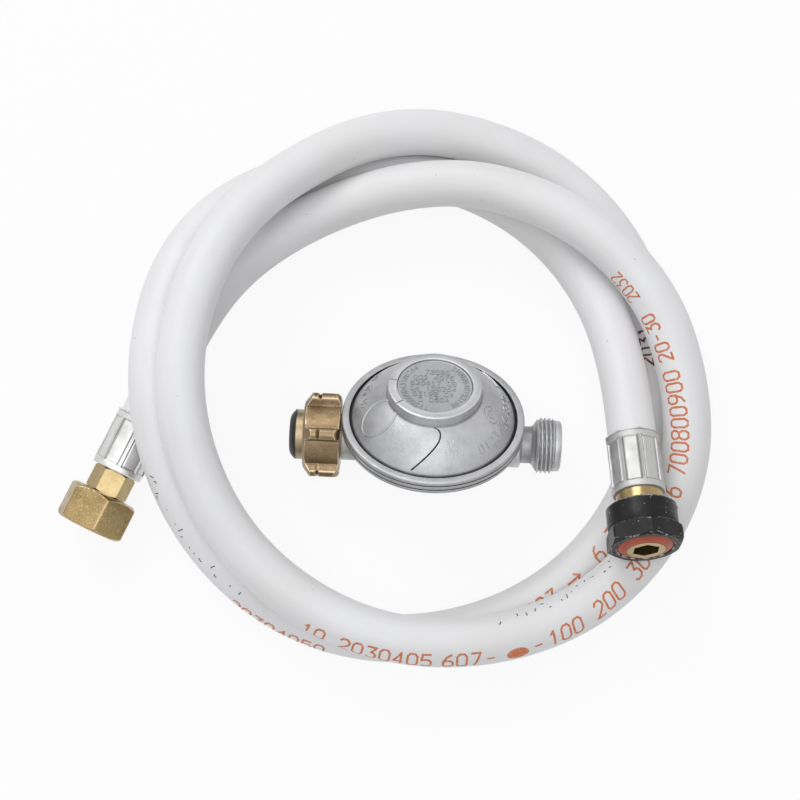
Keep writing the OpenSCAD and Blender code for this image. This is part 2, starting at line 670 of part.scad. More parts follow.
// ---- Lever, valve and nozzle ----
module lever() {
    color("tan") regulator_frame() translate([-lever_long, 0, -lever_short]) difference() {
        union() {
            translate([0, arm_w / 2, 0]) rotate([90, 0, 0]) cylinder(r = hub_r, h = arm_w);
            translate([0, -arm_w / 2, -arm_t / 2]) cube([lever_long + 2.6, arm_w, arm_t]);
            translate([-arm_t / 2, -arm_w / 2, 0]) cube([arm_t, arm_w, lever_short + 0.7]);
        }
        rotate([90, 0, 0]) cylinder(r = pin_r + fit, h = arm_w + 1, center = true);
    }
}
module lever_pin() {
    color("lightsteelblue") regulator_frame()
        translate([-lever_long, 0, -lever_short]) rotate([90, 0, 0])
            cylinder(r = pin_r, h = 2 * ear_out + 0.4, center = true);
}
module inlet_nozzle() {
    back = nozzle_face + nozzle_shank_l;
    color("goldenrod") regulator_frame() difference() {
        union() {
            to_inlet(nozzle_face) cylinder(r = shank_r, h = back - nozzle_face);
            to_outlet(-nozzle_face) cylinder(r = sleeve_r + 0.4, h = hex_flange_l, $fn = 6);
            to_outlet(-nozzle_face + eps) cylinder(r = sleeve_r - 0.2, h = nozzle_face + sleeve_end);
            // two ears that hold the lever's pin
            for (s = [-1, 1])
                translate([-lever_long - ear_back, s > 0 ? ear_in : -ear_out, ear_z])
                    cube([ear_back + 1.9, ear_out - ear_in, 0.7 - ear_z]);
        }
        difference() {
            to_outlet(-nozzle_face + hex_flange_l) cylinder(r = guide_r, h = nozzle_face);
            to_outlet(-nozzle_face) cylinder(r = lip_seat_r, h = hex_flange_l + lip_seat_l);
        }
        to_inlet(0) cylinder(r = orifice_r, h = back + 1);
        translate([-lever_long, 0, -lever_short]) rotate([90, 0, 0])
            cylinder(r = pin_r + fit, h = 2 * ear_out + 2, center = true);
    }
}
module valve_plunger() {
    tail = -lever_long + 2.2;
    color("tan") regulator_frame() difference() {
        to_outlet(pad_face + 0.3) cylinder(r = plunger_r, h = tail - pad_face - 0.3);
        to_outlet(pad_face) cylinder(r = pad_r + fit, h = pad_t);
        // slot for the short arm of the lever
        translate([-lever_long - arm_t / 2 - slot_play, -plunger_r - 1, -plunger_r - 1])
            cube([arm_t + 2 * slot_play, 2 * plunger_r + 2, plunger_r + 2.1]);
    }
}
module valve_pad() {
    color("black") regulator_frame() to_outlet(pad_face) cylinder(r = pad_r, h = pad_t);
}
module inlet_stem() {
    color("goldenrod") regulator_frame() difference() {
        union() {
            to_inlet(spigot_x - stem_thread_l + 0.3) cylinder(r = stem_thread_r, h = stem_thread_l);
            to_inlet(spigot_x) cylinder(r = stem_r, h = flange_in_x - spigot_x + eps);
            to_inlet(flange_in_x) cylinder(d = stem_flange_d, h = stem_flange_l);
            to_inlet(flange_out_x - eps) cylinder(r = nose_r, h = nose_x - flange_out_x + eps);
        }
        to_inlet(0) cylinder(r = stem_bore_r, h = tip_x);
        to_inlet(nose_x - filter_l - 0.2) cylinder(r = filter_r + fit, h = filter_l + 1);
    }
}
module inlet_filter() {
    color("peru") regulator_frame() to_inlet(nose_x - filter_l - 0.2) cylinder(r = filter_r, h = filter_l);
}
module nose_seal() {
    out_r = stem_flange_d / 2;
    color("black") regulator_frame() to_inlet(flange_out_x) rotate_extrude()
        polygon([[nose_r + fit, 0], [out_r, 0], [out_r, nose_seal_l * 0.45], [out_r - 1.2, nose_seal_l - 0.4],
                 [out_r - 1.8, nose_seal_l], [nose_r + 0.4, nose_seal_l], [nose_r + fit, nose_seal_l - 0.4]]);
}
module union_nut() {
    body_r = union_body_d / 2;
    color("goldenrod") regulator_frame() to_inlet(union_x) difference() {
        union() {
            bevelled(body_r, union_l, 1);
            intersection() {
                bevelled(union_r, union_l, 2.4);
                rotate([0, 0, -tilt - union_turn])
                    for (i = [0 : union_lugs - 1]) rotate([0, 0, 360 * i / union_lugs])
                        translate([0, -lug_w / 2, 0]) cube([union_r + 1, lug_w, union_l]);
            }
        }
        translate([0, 0, -eps]) cylinder(r = stem_r + running, h = union_l);
        translate([0, 0, union_shoulder_x - union_x]) cylinder(r = M20[0], h = union_l);
        inside_grooves(M20, union_shoulder_x - union_x + 0.4, union_l - 1);
        translate([0, 0, union_l - 0.8]) cylinder(r1 = M20[0], r2 = M20[1] + 0.1, h = 0.8 + eps);
        // groove across the lugs that marks a left-hand thread
        translate([0, 0, union_l / 2]) rotate_extrude()
            polygon([[union_r - 1.1, 0], [union_r + 0.5, -1.1], [union_r + 0.5, 1.1]]);
    }
}

hose();
brass_frame() hose_tail(brass_ferrule_l);  // brass_end_hose_tail
brass_frame() ferrule(brass_ferrule_l);  // brass_end_ferrule
brass_frame() brass_insert();  // brass_end_insert
brass_frame() brass_gasket();  // brass_end_gasket
brass_frame() brass_nut_body();  // brass_nut
black_frame() hose_tail(black_ferrule_l);  // black_end_hose_tail
black_frame() ferrule(black_ferrule_l);  // black_end_ferrule
black_frame() black_insert();  // black_end_insert
black_frame() black_seal();  // black_end_seal
black_frame() black_nut_body();  // black_nut
lower_housing();
upper_cover();
top_cap();
setting_disc();
main_spring();
spring_plate();
diaphragm();
diaphragm_plate();
diaphragm_stem();
lever();
lever_pin();
inlet_nozzle();
valve_plunger();
valve_pad();
inlet_stem();
inlet_filter();
nose_seal();
union_nut();
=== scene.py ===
import json
import math
from math import cos, pi, radians, sin
from types import SimpleNamespace
import bmesh
import bpy
import numpy as np
from mathutils import Matrix, Vector


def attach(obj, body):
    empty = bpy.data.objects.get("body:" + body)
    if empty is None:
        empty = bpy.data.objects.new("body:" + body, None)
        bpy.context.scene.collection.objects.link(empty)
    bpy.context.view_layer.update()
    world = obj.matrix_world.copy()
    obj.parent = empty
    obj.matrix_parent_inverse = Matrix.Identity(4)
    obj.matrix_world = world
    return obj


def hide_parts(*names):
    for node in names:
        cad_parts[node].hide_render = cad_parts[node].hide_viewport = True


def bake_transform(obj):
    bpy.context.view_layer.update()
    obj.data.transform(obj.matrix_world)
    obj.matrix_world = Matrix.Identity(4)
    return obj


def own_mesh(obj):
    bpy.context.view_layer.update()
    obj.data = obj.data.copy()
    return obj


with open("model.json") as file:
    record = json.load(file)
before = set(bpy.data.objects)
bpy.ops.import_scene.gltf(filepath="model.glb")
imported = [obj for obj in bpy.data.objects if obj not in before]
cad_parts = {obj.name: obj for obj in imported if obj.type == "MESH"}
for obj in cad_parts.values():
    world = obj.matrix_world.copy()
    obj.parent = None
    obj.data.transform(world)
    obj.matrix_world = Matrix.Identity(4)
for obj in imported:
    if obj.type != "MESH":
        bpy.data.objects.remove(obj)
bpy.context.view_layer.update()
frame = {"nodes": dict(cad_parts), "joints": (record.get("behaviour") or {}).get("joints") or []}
joints = {j["name"]: j for j in frame["joints"]}
mm = 0.001


def linked(name, data):
    # a new object, put in the scene
    made = bpy.data.objects.new(name, data)
    bpy.context.scene.collection.objects.link(made)
    return made


# camera
cameraSet = {"place": (-0.0090, -0.13646, 0.65019), "tilt": 13.0, "lens": 80.73, "sensor": 36}
cameraData = bpy.data.cameras.new("camera")
cameraData.lens = cameraSet["lens"]
cameraData.sensor_width = cameraSet["sensor"]
cameraData.clip_start = 0.01
camera = linked("camera", cameraData)
camera.location = cameraSet["place"]
camera.rotation_euler = (radians(cameraSet["tilt"]), 0, 0)
bpy.context.scene.camera = camera


# small helpers for materials
class Finish:
    # a node material with one Principled shader, fed by patterns on Object coordinates
    def __init__(self, name, colour, roughness=0.5, metallic=0.0, specular=0.5, **sockets):
        self.material = bpy.data.materials.new(name)
        self.material.use_nodes = True
        self.tree = self.material.node_tree
        self.shader = self.tree.nodes["Principled BSDF"]
        self.coords = self.add("ShaderNodeTexCoord").outputs["Object"]
        sockets.update(Base_Color=(*colour, 1), Roughness=roughness, Metallic=metallic,
                       Specular_IOR_Level=specular)
        for socket, value in sockets.items():
            self.shader.inputs[socket.replace("_", " ")].default_value = value
        self.bumpOut = None

    def add(self, kind, **inputs):
        made = self.tree.nodes.new(kind)
        for socket, value in inputs.items():
            self.plug(value, made.inputs[socket.replace("_", " ")])
        return made

    def plug(self, value, socket):
        if isinstance(value, bpy.types.NodeSocket):
            self.tree.links.new(value, socket)
        else:
            socket.default_value = value

    def stretched(self, scale, coords=None, rotation=(0, 0, 0)):
        return self.add("ShaderNodeMapping", Vector=coords or self.coords, Scale=scale,
            Rotation=rotation).outputs["Vector"]

    def lengthwise(self, axis, scale):
        # coordinates turned to an axis, then stretched along and across it
        turn = Vector((1, 0, 0)).rotation_difference(Vector(axis)).inverted().to_euler()
        return self.stretched(scale, self.stretched((1, 1, 1), rotation=turn))

    def noise(self, scale, detail=4.0, rough=0.55, coords=None):
        return self.add("ShaderNodeTexNoise", Vector=coords or self.coords, Scale=scale, Detail=detail,
            Roughness=rough).outputs["Fac"]

    def ramp(self, value, low, high, start=0.0, end=1.0):
        return self.add("ShaderNodeMapRange", Value=value, From_Min=low, From_Max=high, To_Min=start,
            To_Max=end).outputs["Result"]

    def spots(self, noise, *limits):
        # a noise, given by its own numbers, cut to between two limits
        return self.ramp(self.noise(*noise), *limits)

    def drawn(self, name):
        # a number kept on the mesh's points
        made = self.tree.nodes.new("ShaderNodeAttribute")
        made.attribute_name = name
        return made.outputs["Fac"]

    def mix(self, factor, first, second):
        made = self.tree.nodes.new("ShaderNodeMix")
        made.data_type = "RGBA"
        for value, index in ((factor, 0), (first, 6), (second, 7)):
            if not isinstance(value, bpy.types.NodeSocket) and index > 0:
                value = (*value, 1)
            self.plug(value, made.inputs[index])
        return made.outputs[2]

    def colour(self, value):
        self.plug(value, self.shader.inputs["Base Color"])

    def roughness(self, value):
        self.plug(value, self.shader.inputs["Roughness"])

    def uneven(self, noise, low, high):
        # roughness that wanders between two values
        self.roughness(self.spots(noise, 0.3, 0.7, low, high))

    def bump(self, height, distance, strength):
        made = self.add("ShaderNodeBump", Distance=distance, Strength=strength, Height=height)
        if self.bumpOut is not None:
            self.plug(self.bumpOut, made.inputs["Normal"])
        self.bumpOut = made.outputs["Normal"]
        self.plug(self.bumpOut, self.shader.inputs["Normal"])


def combined(tree, operation, first, second):
    # two numbers added or multiplied, kept from 0 to 1
    made = tree.nodes.new("ShaderNodeMath")
    made.operation, made.use_clamp = operation, True
    tree.links.new(first, made.inputs[0])
    if isinstance(second, float):
        made.inputs[1].default_value = second
    else:
        tree.links.new(second, made.inputs[1])
    return made.outputs[0]


def shaded(colour, amount):
    return tuple(min(1, c * amount) for c in colour)


def hoseFinish():
    look = {"white": (0.815, 0.813, 0.828), "warm": (0.755, 0.747, 0.742), "grime": (0.42, 0.40, 0.38)}
    made = Finish("hoseRubber", look["white"], 0.42, specular=0.42, Sheen_Weight=0.22, Sheen_Roughness=0.45)
    uv = made.add("ShaderNodeUVMap")
    uv.uv_map = "UVMap"
    along = made.stretched((1.0, 5.0, 1.0), uv.outputs["UV"])
    cloudy = made.spots((14.0, 3.0), 0.42, 0.72)
    streaks = made.ramp(made.noise(9.0, 3.0, coords=along), 0.46, 0.75, 0.0, 0.6)
    tinted = made.mix(cloudy, look["white"], look["warm"])
    tinted = made.mix(streaks, tinted, look["warm"])
    specks = made.spots((420.0, 2.0), 0.755, 0.80)
    scuffs = made.spots((36.0, 6.0, 0.7), 0.66, 0.74, 0.0, 0.16)
    tinted = made.mix(scuffs, tinted, look["grime"])
    made.colour(made.mix(specks, tinted, look["grime"]))
    made.uneven((90.0,), 0.40, 0.56)
    made.bump(made.noise(55.0, 2.0), 0.00035, 0.5)
    made.bump(made.noise(1400.0, 3.0), 0.00004, 0.5)
    return made.material


def inkFinish(name, dark, pale):
    made = Finish(name, dark, 0.5, specular=0.3)
    thin = made.spots((900.0, 4.0, 0.7), 0.5, 0.72, 0.0, 0.55)
    blotch = made.spots((160.0,), 0.4, 0.8, 0.0, 0.5)
    made.colour(made.mix(thin, made.mix(blotch, dark, pale), (0.72, 0.66, 0.62)))
    made.uneven((300.0,), 0.45, 0.6)
    return made.material


def castFinish(name, base, light, metal, rough, grain):
    # die-cast zinc under a thin aluminium lacquer
    made = Finish(name, base, rough, metal)
    mottled = made.spots((150.0, 5.0, 0.65), 0.35, 0.7)
    cloudy = made.spots((28.0, 3.0), 0.4, 0.65, 0.0, 0.5)
    glint = made.spots((2600.0, 1.0), 0.62, 0.72, 0.0, 0.45)
    tinted = made.mix(mottled, shaded(base, 0.80), base)
    tinted = made.mix(cloudy, tinted, light)
    tinted = made.mix(glint, tinted, shaded(light, 1.25))
    # painted shade: darker towards the hollows and inward bends, where shade falls
    tinted = made.mix(made.ramp(made.drawn("hollow"), 0.1, 1.0, 0.0, 0.6), tinted, shaded(base, 0.22))
    rubbed = made.ramp(made.drawn("edgeWear"), 0.3, 1.0, 0.0, 0.35)
    made.colour(made.mix(rubbed, tinted, (0.84, 0.84, 0.85)))
    made.uneven((220.0,), rough - 0.07, rough + 0.08)
    made.bump(made.noise(420.0, 4.0, 0.6), 0.00009 * grain, 0.7)
    made.bump(made.noise(2400.0, 2.0), 0.00003 * grain, 0.6)
    return made.material


def brassFinish(name, base, dark, light, rough, axis, wear=0.5, glintShare=0.12):
    # machined brass: turning lines square to the axis, stains, rubbed edges
    made = Finish(name, base, rough, 1.0)
    stained = made.spots((95.0, 6.0, 0.65), 0.42, 0.68)
    blotched = made.spots((34.0, 4.0), 0.45, 0.66, 0.0, 0.6)
    pits = made.spots((700.0, 3.0), 0.66, 0.75, 0.0, 0.7)
    # painted glints: small bright specks of the lighter brass colour, standing in for the stippled surface
    # catching the light
    glintSpecks = made.spots((1450.0, 2.0), 0.55, 0.66, 0.0, glintShare)
    lines = made.noise(1.0, 2.0, coords=made.lengthwise(axis, (5200.0, 180.0, 180.0)))
    edges = made.ramp(made.drawn("edgeWear"), 0.4, 1.0, 0.0, wear)
    tinted = made.mix(stained, base, dark)
    tinted = made.mix(blotched, tinted, base)
    tinted = made.mix(glintSpecks, tinted, light)
    tinted = made.mix(pits, tinted, shaded(dark, 0.45))
    made.colour(made.mix(edges, tinted, light))
    made.roughness(made.spots((150.0,), 0.3, 0.75, rough - 0.08, rough + 0.14))
    made.bump(lines, 0.000025, 0.6)
    made.bump(made.noise(260.0, 5.0), 0.00006, 0.5)
    made.bump(made.noise(1100.0, 2.0), 0.00004, 0.7)
    return made.material


def platedFinish(name, base, rough, axis):
    # bright plated steel, drawn and crimped
    made = Finish(name, base, rough, 1.0)
    lines = made.noise(1.0, 3.0, coords=made.lengthwise(axis, (60.0, 2600.0, 2600.0)))
    tinted = made.mix(made.spots((120.0, 5.0, 0.65), 0.45, 0.75), base, shaded(base, 0.78))
    # painted shade: the hollows, such as the grooves beside the crimp ridges, darkened towards near black
    made.colour(made.mix(made.ramp(made.drawn("hollow"), 0.1, 1.0, 0.0, 0.7), tinted, (0.16, 0.16, 0.16)))
    made.uneven((200.0,), rough - 0.06, rough + 0.12)
    made.bump(lines, 0.00002, 0.5)
    made.bump(made.noise(180.0, 3.0), 0.00012, 0.5)
    return made.material


def oxideFinish(name):
    look = {"black": (0.009, 0.009, 0.010), "rubbed": (0.42, 0.41, 0.39), "brown": (0.022, 0.019, 0.017)}
    made = Finish(name, look["black"], 0.36, 0.35, specular=0.32)
    patchy = made.spots((420.0, 5.0, 0.7), 0.46, 0.58)
    worn = combined(made.tree, "MULTIPLY", made.ramp(made.drawn("edgeWear"), 0.55, 1.0), patchy)
    specks = made.spots((640.0, 3.0, 0.6), 0.675, 0.71, 0.0, 0.85)
    tinted = made.mix(made.spots((60.0, 4.0), 0.45, 0.7), look["black"], look["brown"])
    tinted = made.mix(specks, tinted, look["rubbed"])
    made.colour(made.mix(worn, tinted, look["rubbed"]))
    made.uneven((180.0, 4.0), 0.28, 0.5)
    made.bump(made.noise(340.0, 5.0), 0.00007, 0.6)
    return made.material


def softFinish(name, base, second, rough, size=200.0):
    made = Finish(name, base, rough, specular=0.35)
    made.colour(made.mix(made.spots((size, 4.0), 0.4, 0.7), base, second))
    made.uneven((size * 1.7,), rough - 0.08, rough + 0.1)
    made.bump(made.noise(size * 5, 3.0), 0.00003, 0.5)
    return made.material


# small helpers for shapes
def placing(xAxis, zAxis, origin):
    # millimetres in a frame of its own, to metres in the shared frame
    zAxis = Vector(zAxis).normalized()
    xAxis = (Vector(xAxis) - zAxis * Vector(xAxis).dot(zAxis)).normalized()
    turned = Matrix((xAxis, zAxis.cross(xAxis), zAxis)).transposed().to_4x4()
    turned.translation = Vector(origin)
    return turned @ Matrix.Scale(mm, 4)


def softened(points, radius):
    # rounds every corner of a closed outline; a third number gives a corner its own radius
    done, steps, count = [], 3, len(points)
    for i, point in enumerate(points):
        here = Vector(point[:2])
        reach = point[2] if len(point) > 2 else radius
        before = Vector(points[i - 1][:2]) - here
        after = Vector(points[(i + 1) % count][:2]) - here
        reach = min(reach, before.length * 0.48, after.length * 0.48)
        if reach < 0.02 or here.x < 0.01 or abs(before.normalized().dot(after.normalized())) > 0.999:
            done.append((here.x, here.y))
            continue
        a, b = here + before.normalized() * reach, here + after.normalized() * reach
        for k in range(steps + 1):
            t = k / steps
            spot = a * (1 - t) ** 2 + here * 2 * t * (1 - t) + b * t * t
            done.append((spot.x, spot.y))
    return done


def welded(built, reach=1e-7):
    bmesh.ops.remove_doubles(built, verts=built.verts, dist=reach)


def turnedMesh(name, rows, steps, matrix, sharp=32):
    # a closed solid of rings; a row is (radius, height), each a number or a function of the angles
    angles = np.arange(steps) * 2 * pi / steps
    built = bmesh.new()
    rings = []
    for radius, height in rows:
        if not callable(radius) and radius < 1e-6:
            rings.append([built.verts.new((0, 0, height))])
            continue
        radii = radius(angles) if callable(radius) else np.full(steps, float(radius))
        heights = height(angles) if callable(height) else np.full(steps, float(height))
        rings.append([built.verts.new((r * cos(a), r * sin(a), h))
            for r, a, h in zip(radii, angles, heights)])
    open_ = len(rings[0]) == 1 and len(rings[-1]) == 1
    for i in range(len(rings) - (1 if open_ else 0)):
        low, high = rings[i], rings[(i + 1) % len(rings)]
        for k in range(steps):
            n = (k + 1) % steps
            corners = [low[k % len(low)], low[n % len(low)], high[n % len(high)], high[k % len(high)]]
            unique = list(dict.fromkeys(corners))
            if len(unique) > 2:
                built.faces.new(unique)
    welded(built, 1e-5)
    bmesh.ops.recalc_face_normals(built, faces=built.faces)
    return finished(name, built, matrix, sharp)


def around(radius, height, moves):
    # outline points as moves from one radius and height; a corner radius may follow
    return [(radius + r, height + z, *corner) for r, z, *corner in moves]


def smoothed(mesh, sharp):
    mesh.polygons.foreach_set("use_smooth", [True] * len(mesh.polygons))
    mesh.set_sharp_from_angle(angle=radians(sharp))


def finished(name, built, matrix, sharp=32):
    mesh = bpy.data.meshes.new(name)
    built.to_mesh(mesh)
    built.free()
    mesh.transform(matrix)
    smoothed(mesh, sharp)
    return linked(name, mesh)


def evaluatedMesh(piece):
    return bpy.data.meshes.new_from_object(piece.evaluated_get(bpy.context.evaluated_depsgraph_get()))


def wearEdges(piece, angle):
    # how much each corner point lies on an outward edge (for wear) or in an inward bend (for painted shade),
    # kept for the material
    built = bmesh.new()
    built.from_mesh(piece.data)
    found = {"edgeWear": np.zeros(len(built.verts)), "hollow": np.zeros(len(built.verts))}
    for edge in built.edges:
        if len(edge.link_faces) == 2:
            bend = math.degrees(edge.calc_face_angle_signed(0))
            for name, turned in (("edgeWear", bend), ("hollow", -bend)):
                share = min(1.0, max(0.0, turned - angle * 0.5) / angle)
                for vert in edge.verts:
                    found[name][vert.index] = max(found[name][vert.index], share)
    built.free()
    for name, numbers in found.items():
        values = piece.data.attributes.new(name, "FLOAT", "POINT")
        values.data.foreach_set("value", numbers)


def shadeFaces(piece, matrix, inside, material):
    # gives a second material to the faces whose middles pass a test in the piece's millimetres
    back = matrix.inverted()
    piece.data.materials.append(material)
    for face in piece.data.polygons:
        spot = back @ face.center
        if inside(math.hypot(spot.x, spot.y), spot.z):
            face.material_index = 1


def carve(piece, tools, how="DIFFERENCE"):
    # exact Booleans one after another; the tools are used up
    for tool in tools:
        step = piece.modifiers.new("carve", "BOOLEAN")
        step.operation = how
        step.solver = "EXACT"
        step.object = tool
        shape = evaluatedMesh(piece)
        piece.modifiers.clear()
        old = piece.data
        shape.name = old.name + "_cut"
        piece.data = shape
        bpy.data.meshes.remove(old)
        bpy.data.objects.remove(tool)
    built = bmesh.new()
    built.from_mesh(piece.data)
    welded(built)
    bmesh.ops.dissolve_degenerate(built, edges=built.edges, dist=1e-7)
    built.to_mesh(piece.data)
    built.free()
    smoothed(piece.data, 32)


def ridge(built, points, normals, width, height, sink):
    # a low closed bead along points on a surface
    count = len(points)
    closed = (points[0] - points[-1]).length < 1e-6
    sections = []
    for i in range(count):
        before = points[i - 1] if i > 0 else (points[-2] if closed else None)
        after = points[i + 1] if i < count - 1 else (points[1] if closed else None)
        heading = ((after or points[i]) - (before or points[i])).normalized()
        side = heading.cross(normals[i]).normalized() * width / 2
        if before is not None and after is not None:
            bend = (points[i] - before).normalized().dot((after - points[i]).normalized())
            side *= min(1.5, 1 / max(0.5, math.sqrt(max(0.0, (1 + bend) / 2))))
        up = normals[i]
        sections.append([built.verts.new(points[i] + side * s + up * h) for s, h in (
            (-1, -sink), (1, -sink), (1, height * 0.6), (0.65, height), (-0.65, height), (-1, height * 0.6))])
    if closed:
        sections[-1] = sections[0]
    for a, b in zip(sections, sections[1:]):
        for k in range(6):
            n = (k + 1) % 6
            built.faces.new((a[k], a[n], b[n], b[k]))
    if not closed:
        built.faces.new(sections[0][::-1])
        built.faces.new(sections[-1])


# plain figures as pen strokes on a 4 x 6 grid: points as x,y, and a slash where the pen lifts
penStrokes = {
    "0": "0,1 0,5 1,6 3,6 4,5 4,1 3,0 1,0 0,1",
    "1": "0.8,4.8 2.2,6 2.2,0",
    "2": "0,5 1,6 3,6 4,5 4,3.8 0,0 4,0",
    "3": "0,6 4,6 2,3.6 3.2,3.4 4,2.5 4,1 3,0 1,0 0,1",
    "4": "3,0 3,6 0,1.8 4,1.8",
    "5": "4,6 0.4,6 0,3.4 1,3.8 3,3.8 4,2.8 4,1 3,0 1,0 0,0.8",
    "6": "3.6,6 1.4,5 0,3 0,1 1,0 3,0 4,1 4,2.4 3,3.4 1,3.4 0,2.6",
    "7": "0,6 4,6 1.4,0",
    "8": "1,3.2 0,4.2 0,5.2 1,6 3,6 4,5.2 4,4.2 3,3.2 1,3.2 0,2.2 0,0.9 1,0 3,0 4,0.9 4,2.2 3,3.2",
    "9": "0.4,0 2.6,1 4,3 4,5 3,6 1,6 0,5 0,3.6 1,2.6 3,2.6 4,3.4",
    "-": "0.4,3 3.6,3",
    ".": "1.8,0.2 2.2,0.2",
    "x": "0.4,0.8 3.6,4.8/3.6,0.8 0.4,4.8",
    ">": "-1.5,3 5.5,3/3.2,1.2 5.5,3 3.2,4.8",
}
strokes = {sign: [[tuple(map(float, point.split(","))) for point in line.split()]
    for line in drawn.split("/")] for sign, drawn in penStrokes.items()}


def written(text, width, height, pitch):
    # pen strokes of a line of figures, x along the line and y up, middle of the height at 0
    lines = []
    for i, sign in enumerate(text):
        for stroke in strokes.get(sign, []):
            lines.append([(i * pitch + x * width / 4, (y / 6 - 0.5) * height) for x, y in stroke])
    return lines


def finer(line, step):
    done = [line[0]]
    for a, b in zip(line, line[1:]):
        parts = max(1, math.ceil(math.dist(a, b) / step))
        done += [tuple(p + (q - p) * k / parts for p, q in zip(a, b)) for k in range(1, parts + 1)]
    return done


def painted(piece, material):
    piece.data.materials.clear()
    piece.data.materials.append(material)


def dress(piece, body, material, node=None, wear=None):
    # wear is the bend, in degrees, that counts as a worn edge, and as a hollow for painted shade
    if wear:
        wearEdges(piece, wear)
    painted(piece, material)
    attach(piece, body)
    if node:
        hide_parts(node)


# hose
hoseSet = {"diameter": 17.0, "length": 1.446, "sides": 56, "ringsPerPoint": 9}
routePoints = [
    (-101.5, 2, 19.5), (-94, 17, 21.5), (-85.5, 36.5, 20), (-74.5, 55.5, 16.5), (-59.5, 69.5, 15.5),
    (-41.5, 79.5, 18), (-20.5, 86.5, 22.5), (-0.5, 89.5, 26), (19.5, 88.5, 29), (39.5, 81.5, 32),
    (58.5, 70.5, 34), (74.5, 55.5, 33.5), (86.5, 37.5, 30.5), (92.5, 15.5, 27), (94.5, -7.5, 23.5),
    (88.5, -29.5, 20.5), (76.5, -48.5, 20), (57.5, -65.5, 21.5), (34.5, -75.5, 24), (10.5, -79.5, 26),
    (-14.5, -77.5, 27), (-37.5, -68.5, 28.5), (-58.5, -53.5, 32.5), (-73.5, -34.5, 39), (-82.5, -12.5, 47),
    (-85.5, 9.5, 52.5), (-83.5, 31.5, 52.5), (-76.5, 54.5, 48), (-64.5, 75.5, 41), (-46.5, 92.5, 33.5),
    (-25.5, 106.5, 26.5), (-1.5, 112.7, 21.2), (22.5, 110.2, 15.4), (44.5, 102.3, 9.6), (62.5, 87.5, 8.5),
    (77.5, 65.5, 8.5), (84.5, 39.5, 8.5), (84.5, 12.5, 8.5), (80.5, -12.5, 8.5), (70.5, -33.5, 8.5),
    (54.5, -52.5, 8.5), (33.5, -66.5, 8.5), (9.5, -74.5, 8.5), (-16.5, -76.5, 8.5), (-41.5, -70.5, 8.5),
    (-63.5, -57.5, 12), (-80.5, -39.5, 20.5), (-91.5, -17.5, 31), (-96.5, 5.5, 38.7), (-95.5, 29.5, 40),
    (-90.5, 53.5, 35.5), (-78.5, 75.5, 27), (-59.5, 91.5, 18), (-37.5, 99.5, 10.5), (-11.5, 100.5, 8.5),
    (12.5, 97.3, 8.5), (36.5, 84.5, 9), (53.5, 66.5, 13.5), (65.5, 43.5, 20.5), (71, 17.5, 28.5),
    (72.4, -8.5, 35)]


def smoothRoute(points, parts):
    # uniform cubic B-spline through the smoothed points, with the end points kept
    knots = [2 * points[0] - points[1]] + list(points) + [2 * points[-1] - points[-2]]
    line = []
    for i in range(len(points) - 1):
        a, b, c, d = knots[i:i + 4]
        for k in range(parts):
            t = k / parts
            line.append(((1 - t) ** 3 * a + (3 * t ** 3 - 6 * t * t + 4) * b
                + (-3 * t ** 3 + 3 * t * t + 3 * t + 1) * c + t ** 3 * d) / 6)
    line.append(points[-1])
    return np.array(line)


routeLine = smoothRoute(np.array(routePoints, float), hoseSet["ringsPerPoint"])
hoseRadius = hoseSet["diameter"] / 2


def pathTree(name):
    # sweeps a circle along the incoming edges and writes a UV map: x round the tube, y along it
    tree = bpy.data.node_groups.new(name, "GeometryNodeTree")
    sockets = (("Geometry", "INPUT", "Geometry"), ("Radius", "INPUT", "Float"), ("Sides", "INPUT", "Int"),
        ("Material", "INPUT", "Material"), ("Geometry", "OUTPUT", "Geometry"))
    for label, way, kind in sockets:
        tree.interface.new_socket(label, in_out=way, socket_type="NodeSocket" + kind)
    new = tree.nodes.new
    start, end = new("NodeGroupInput"), new("NodeGroupOutput")
    curve, ring = new("GeometryNodeMeshToCurve"), new("GeometryNodeCurvePrimitiveCircle")
    sweep, store = new("GeometryNodeCurveToMesh"), new("GeometryNodeStoreNamedAttribute")
    pair, smooth = new("ShaderNodeCombineXYZ"), new("GeometryNodeSetShadeSmooth")
    real, paint = new("GeometryNodeRealizeInstances"), new("GeometryNodeSetMaterial")
    sweep.inputs["Fill Caps"].default_value = True
    store.data_type, store.domain = "FLOAT2", "CORNER"
    store.inputs["Name"].default_value = "UVMap"
    joins = [(start, "Geometry", curve, "Mesh"), (start, "Radius", ring, "Radius"),
        (start, "Sides", ring, "Resolution"), (start, "Material", paint, "Material")]
    for source, target, part in ((curve, "Curve", "Y"), (ring, "Profile Curve", "X")):
        place, capture = new("GeometryNodeSplineParameter"), new("GeometryNodeCaptureAttribute")
        capture.capture_items.new("FLOAT", "Value")
        joins += [(source, "Curve", capture, "Geometry"), (place, "Factor", capture, "Value"),
            (capture, "Geometry", sweep, target), (capture, "Value", pair, part)]
    joins += [(sweep, "Mesh", store, "Geometry"), (pair, "Vector", store, "Value")]
    chain = (store, smooth, real, paint, end)
    joins += [(a, "Geometry", b, "Geometry") for a, b in zip(chain, chain[1:])]
    for source, outSocket, target, inSocket in joins:
        tree.links.new(source.outputs[outSocket], target.inputs[inSocket])
    return tree


def sweptPiece(name, line, radius, sides, material):
    mesh = bpy.data.meshes.new(name + "_line")
    mesh.from_pydata([tuple(p * mm) for p in line], [(i, i + 1) for i in range(len(line) - 1)], [])
    path = linked(name + "_line", mesh)
    step = path.modifiers.new("sweep", "NODES")
    step.node_group = pathTree(name + "_sweep")
    values = {"Radius": radius * mm, "Sides": sides, "Material": material}
    for item in step.node_group.interface.items_tree:
        if item.in_out == "INPUT" and item.name in values:
            step[item.identifier] = values[item.name]
    shape = evaluatedMesh(path)
    path.modifiers.clear()
    bpy.data.objects.remove(path)
    return linked(name, shape)


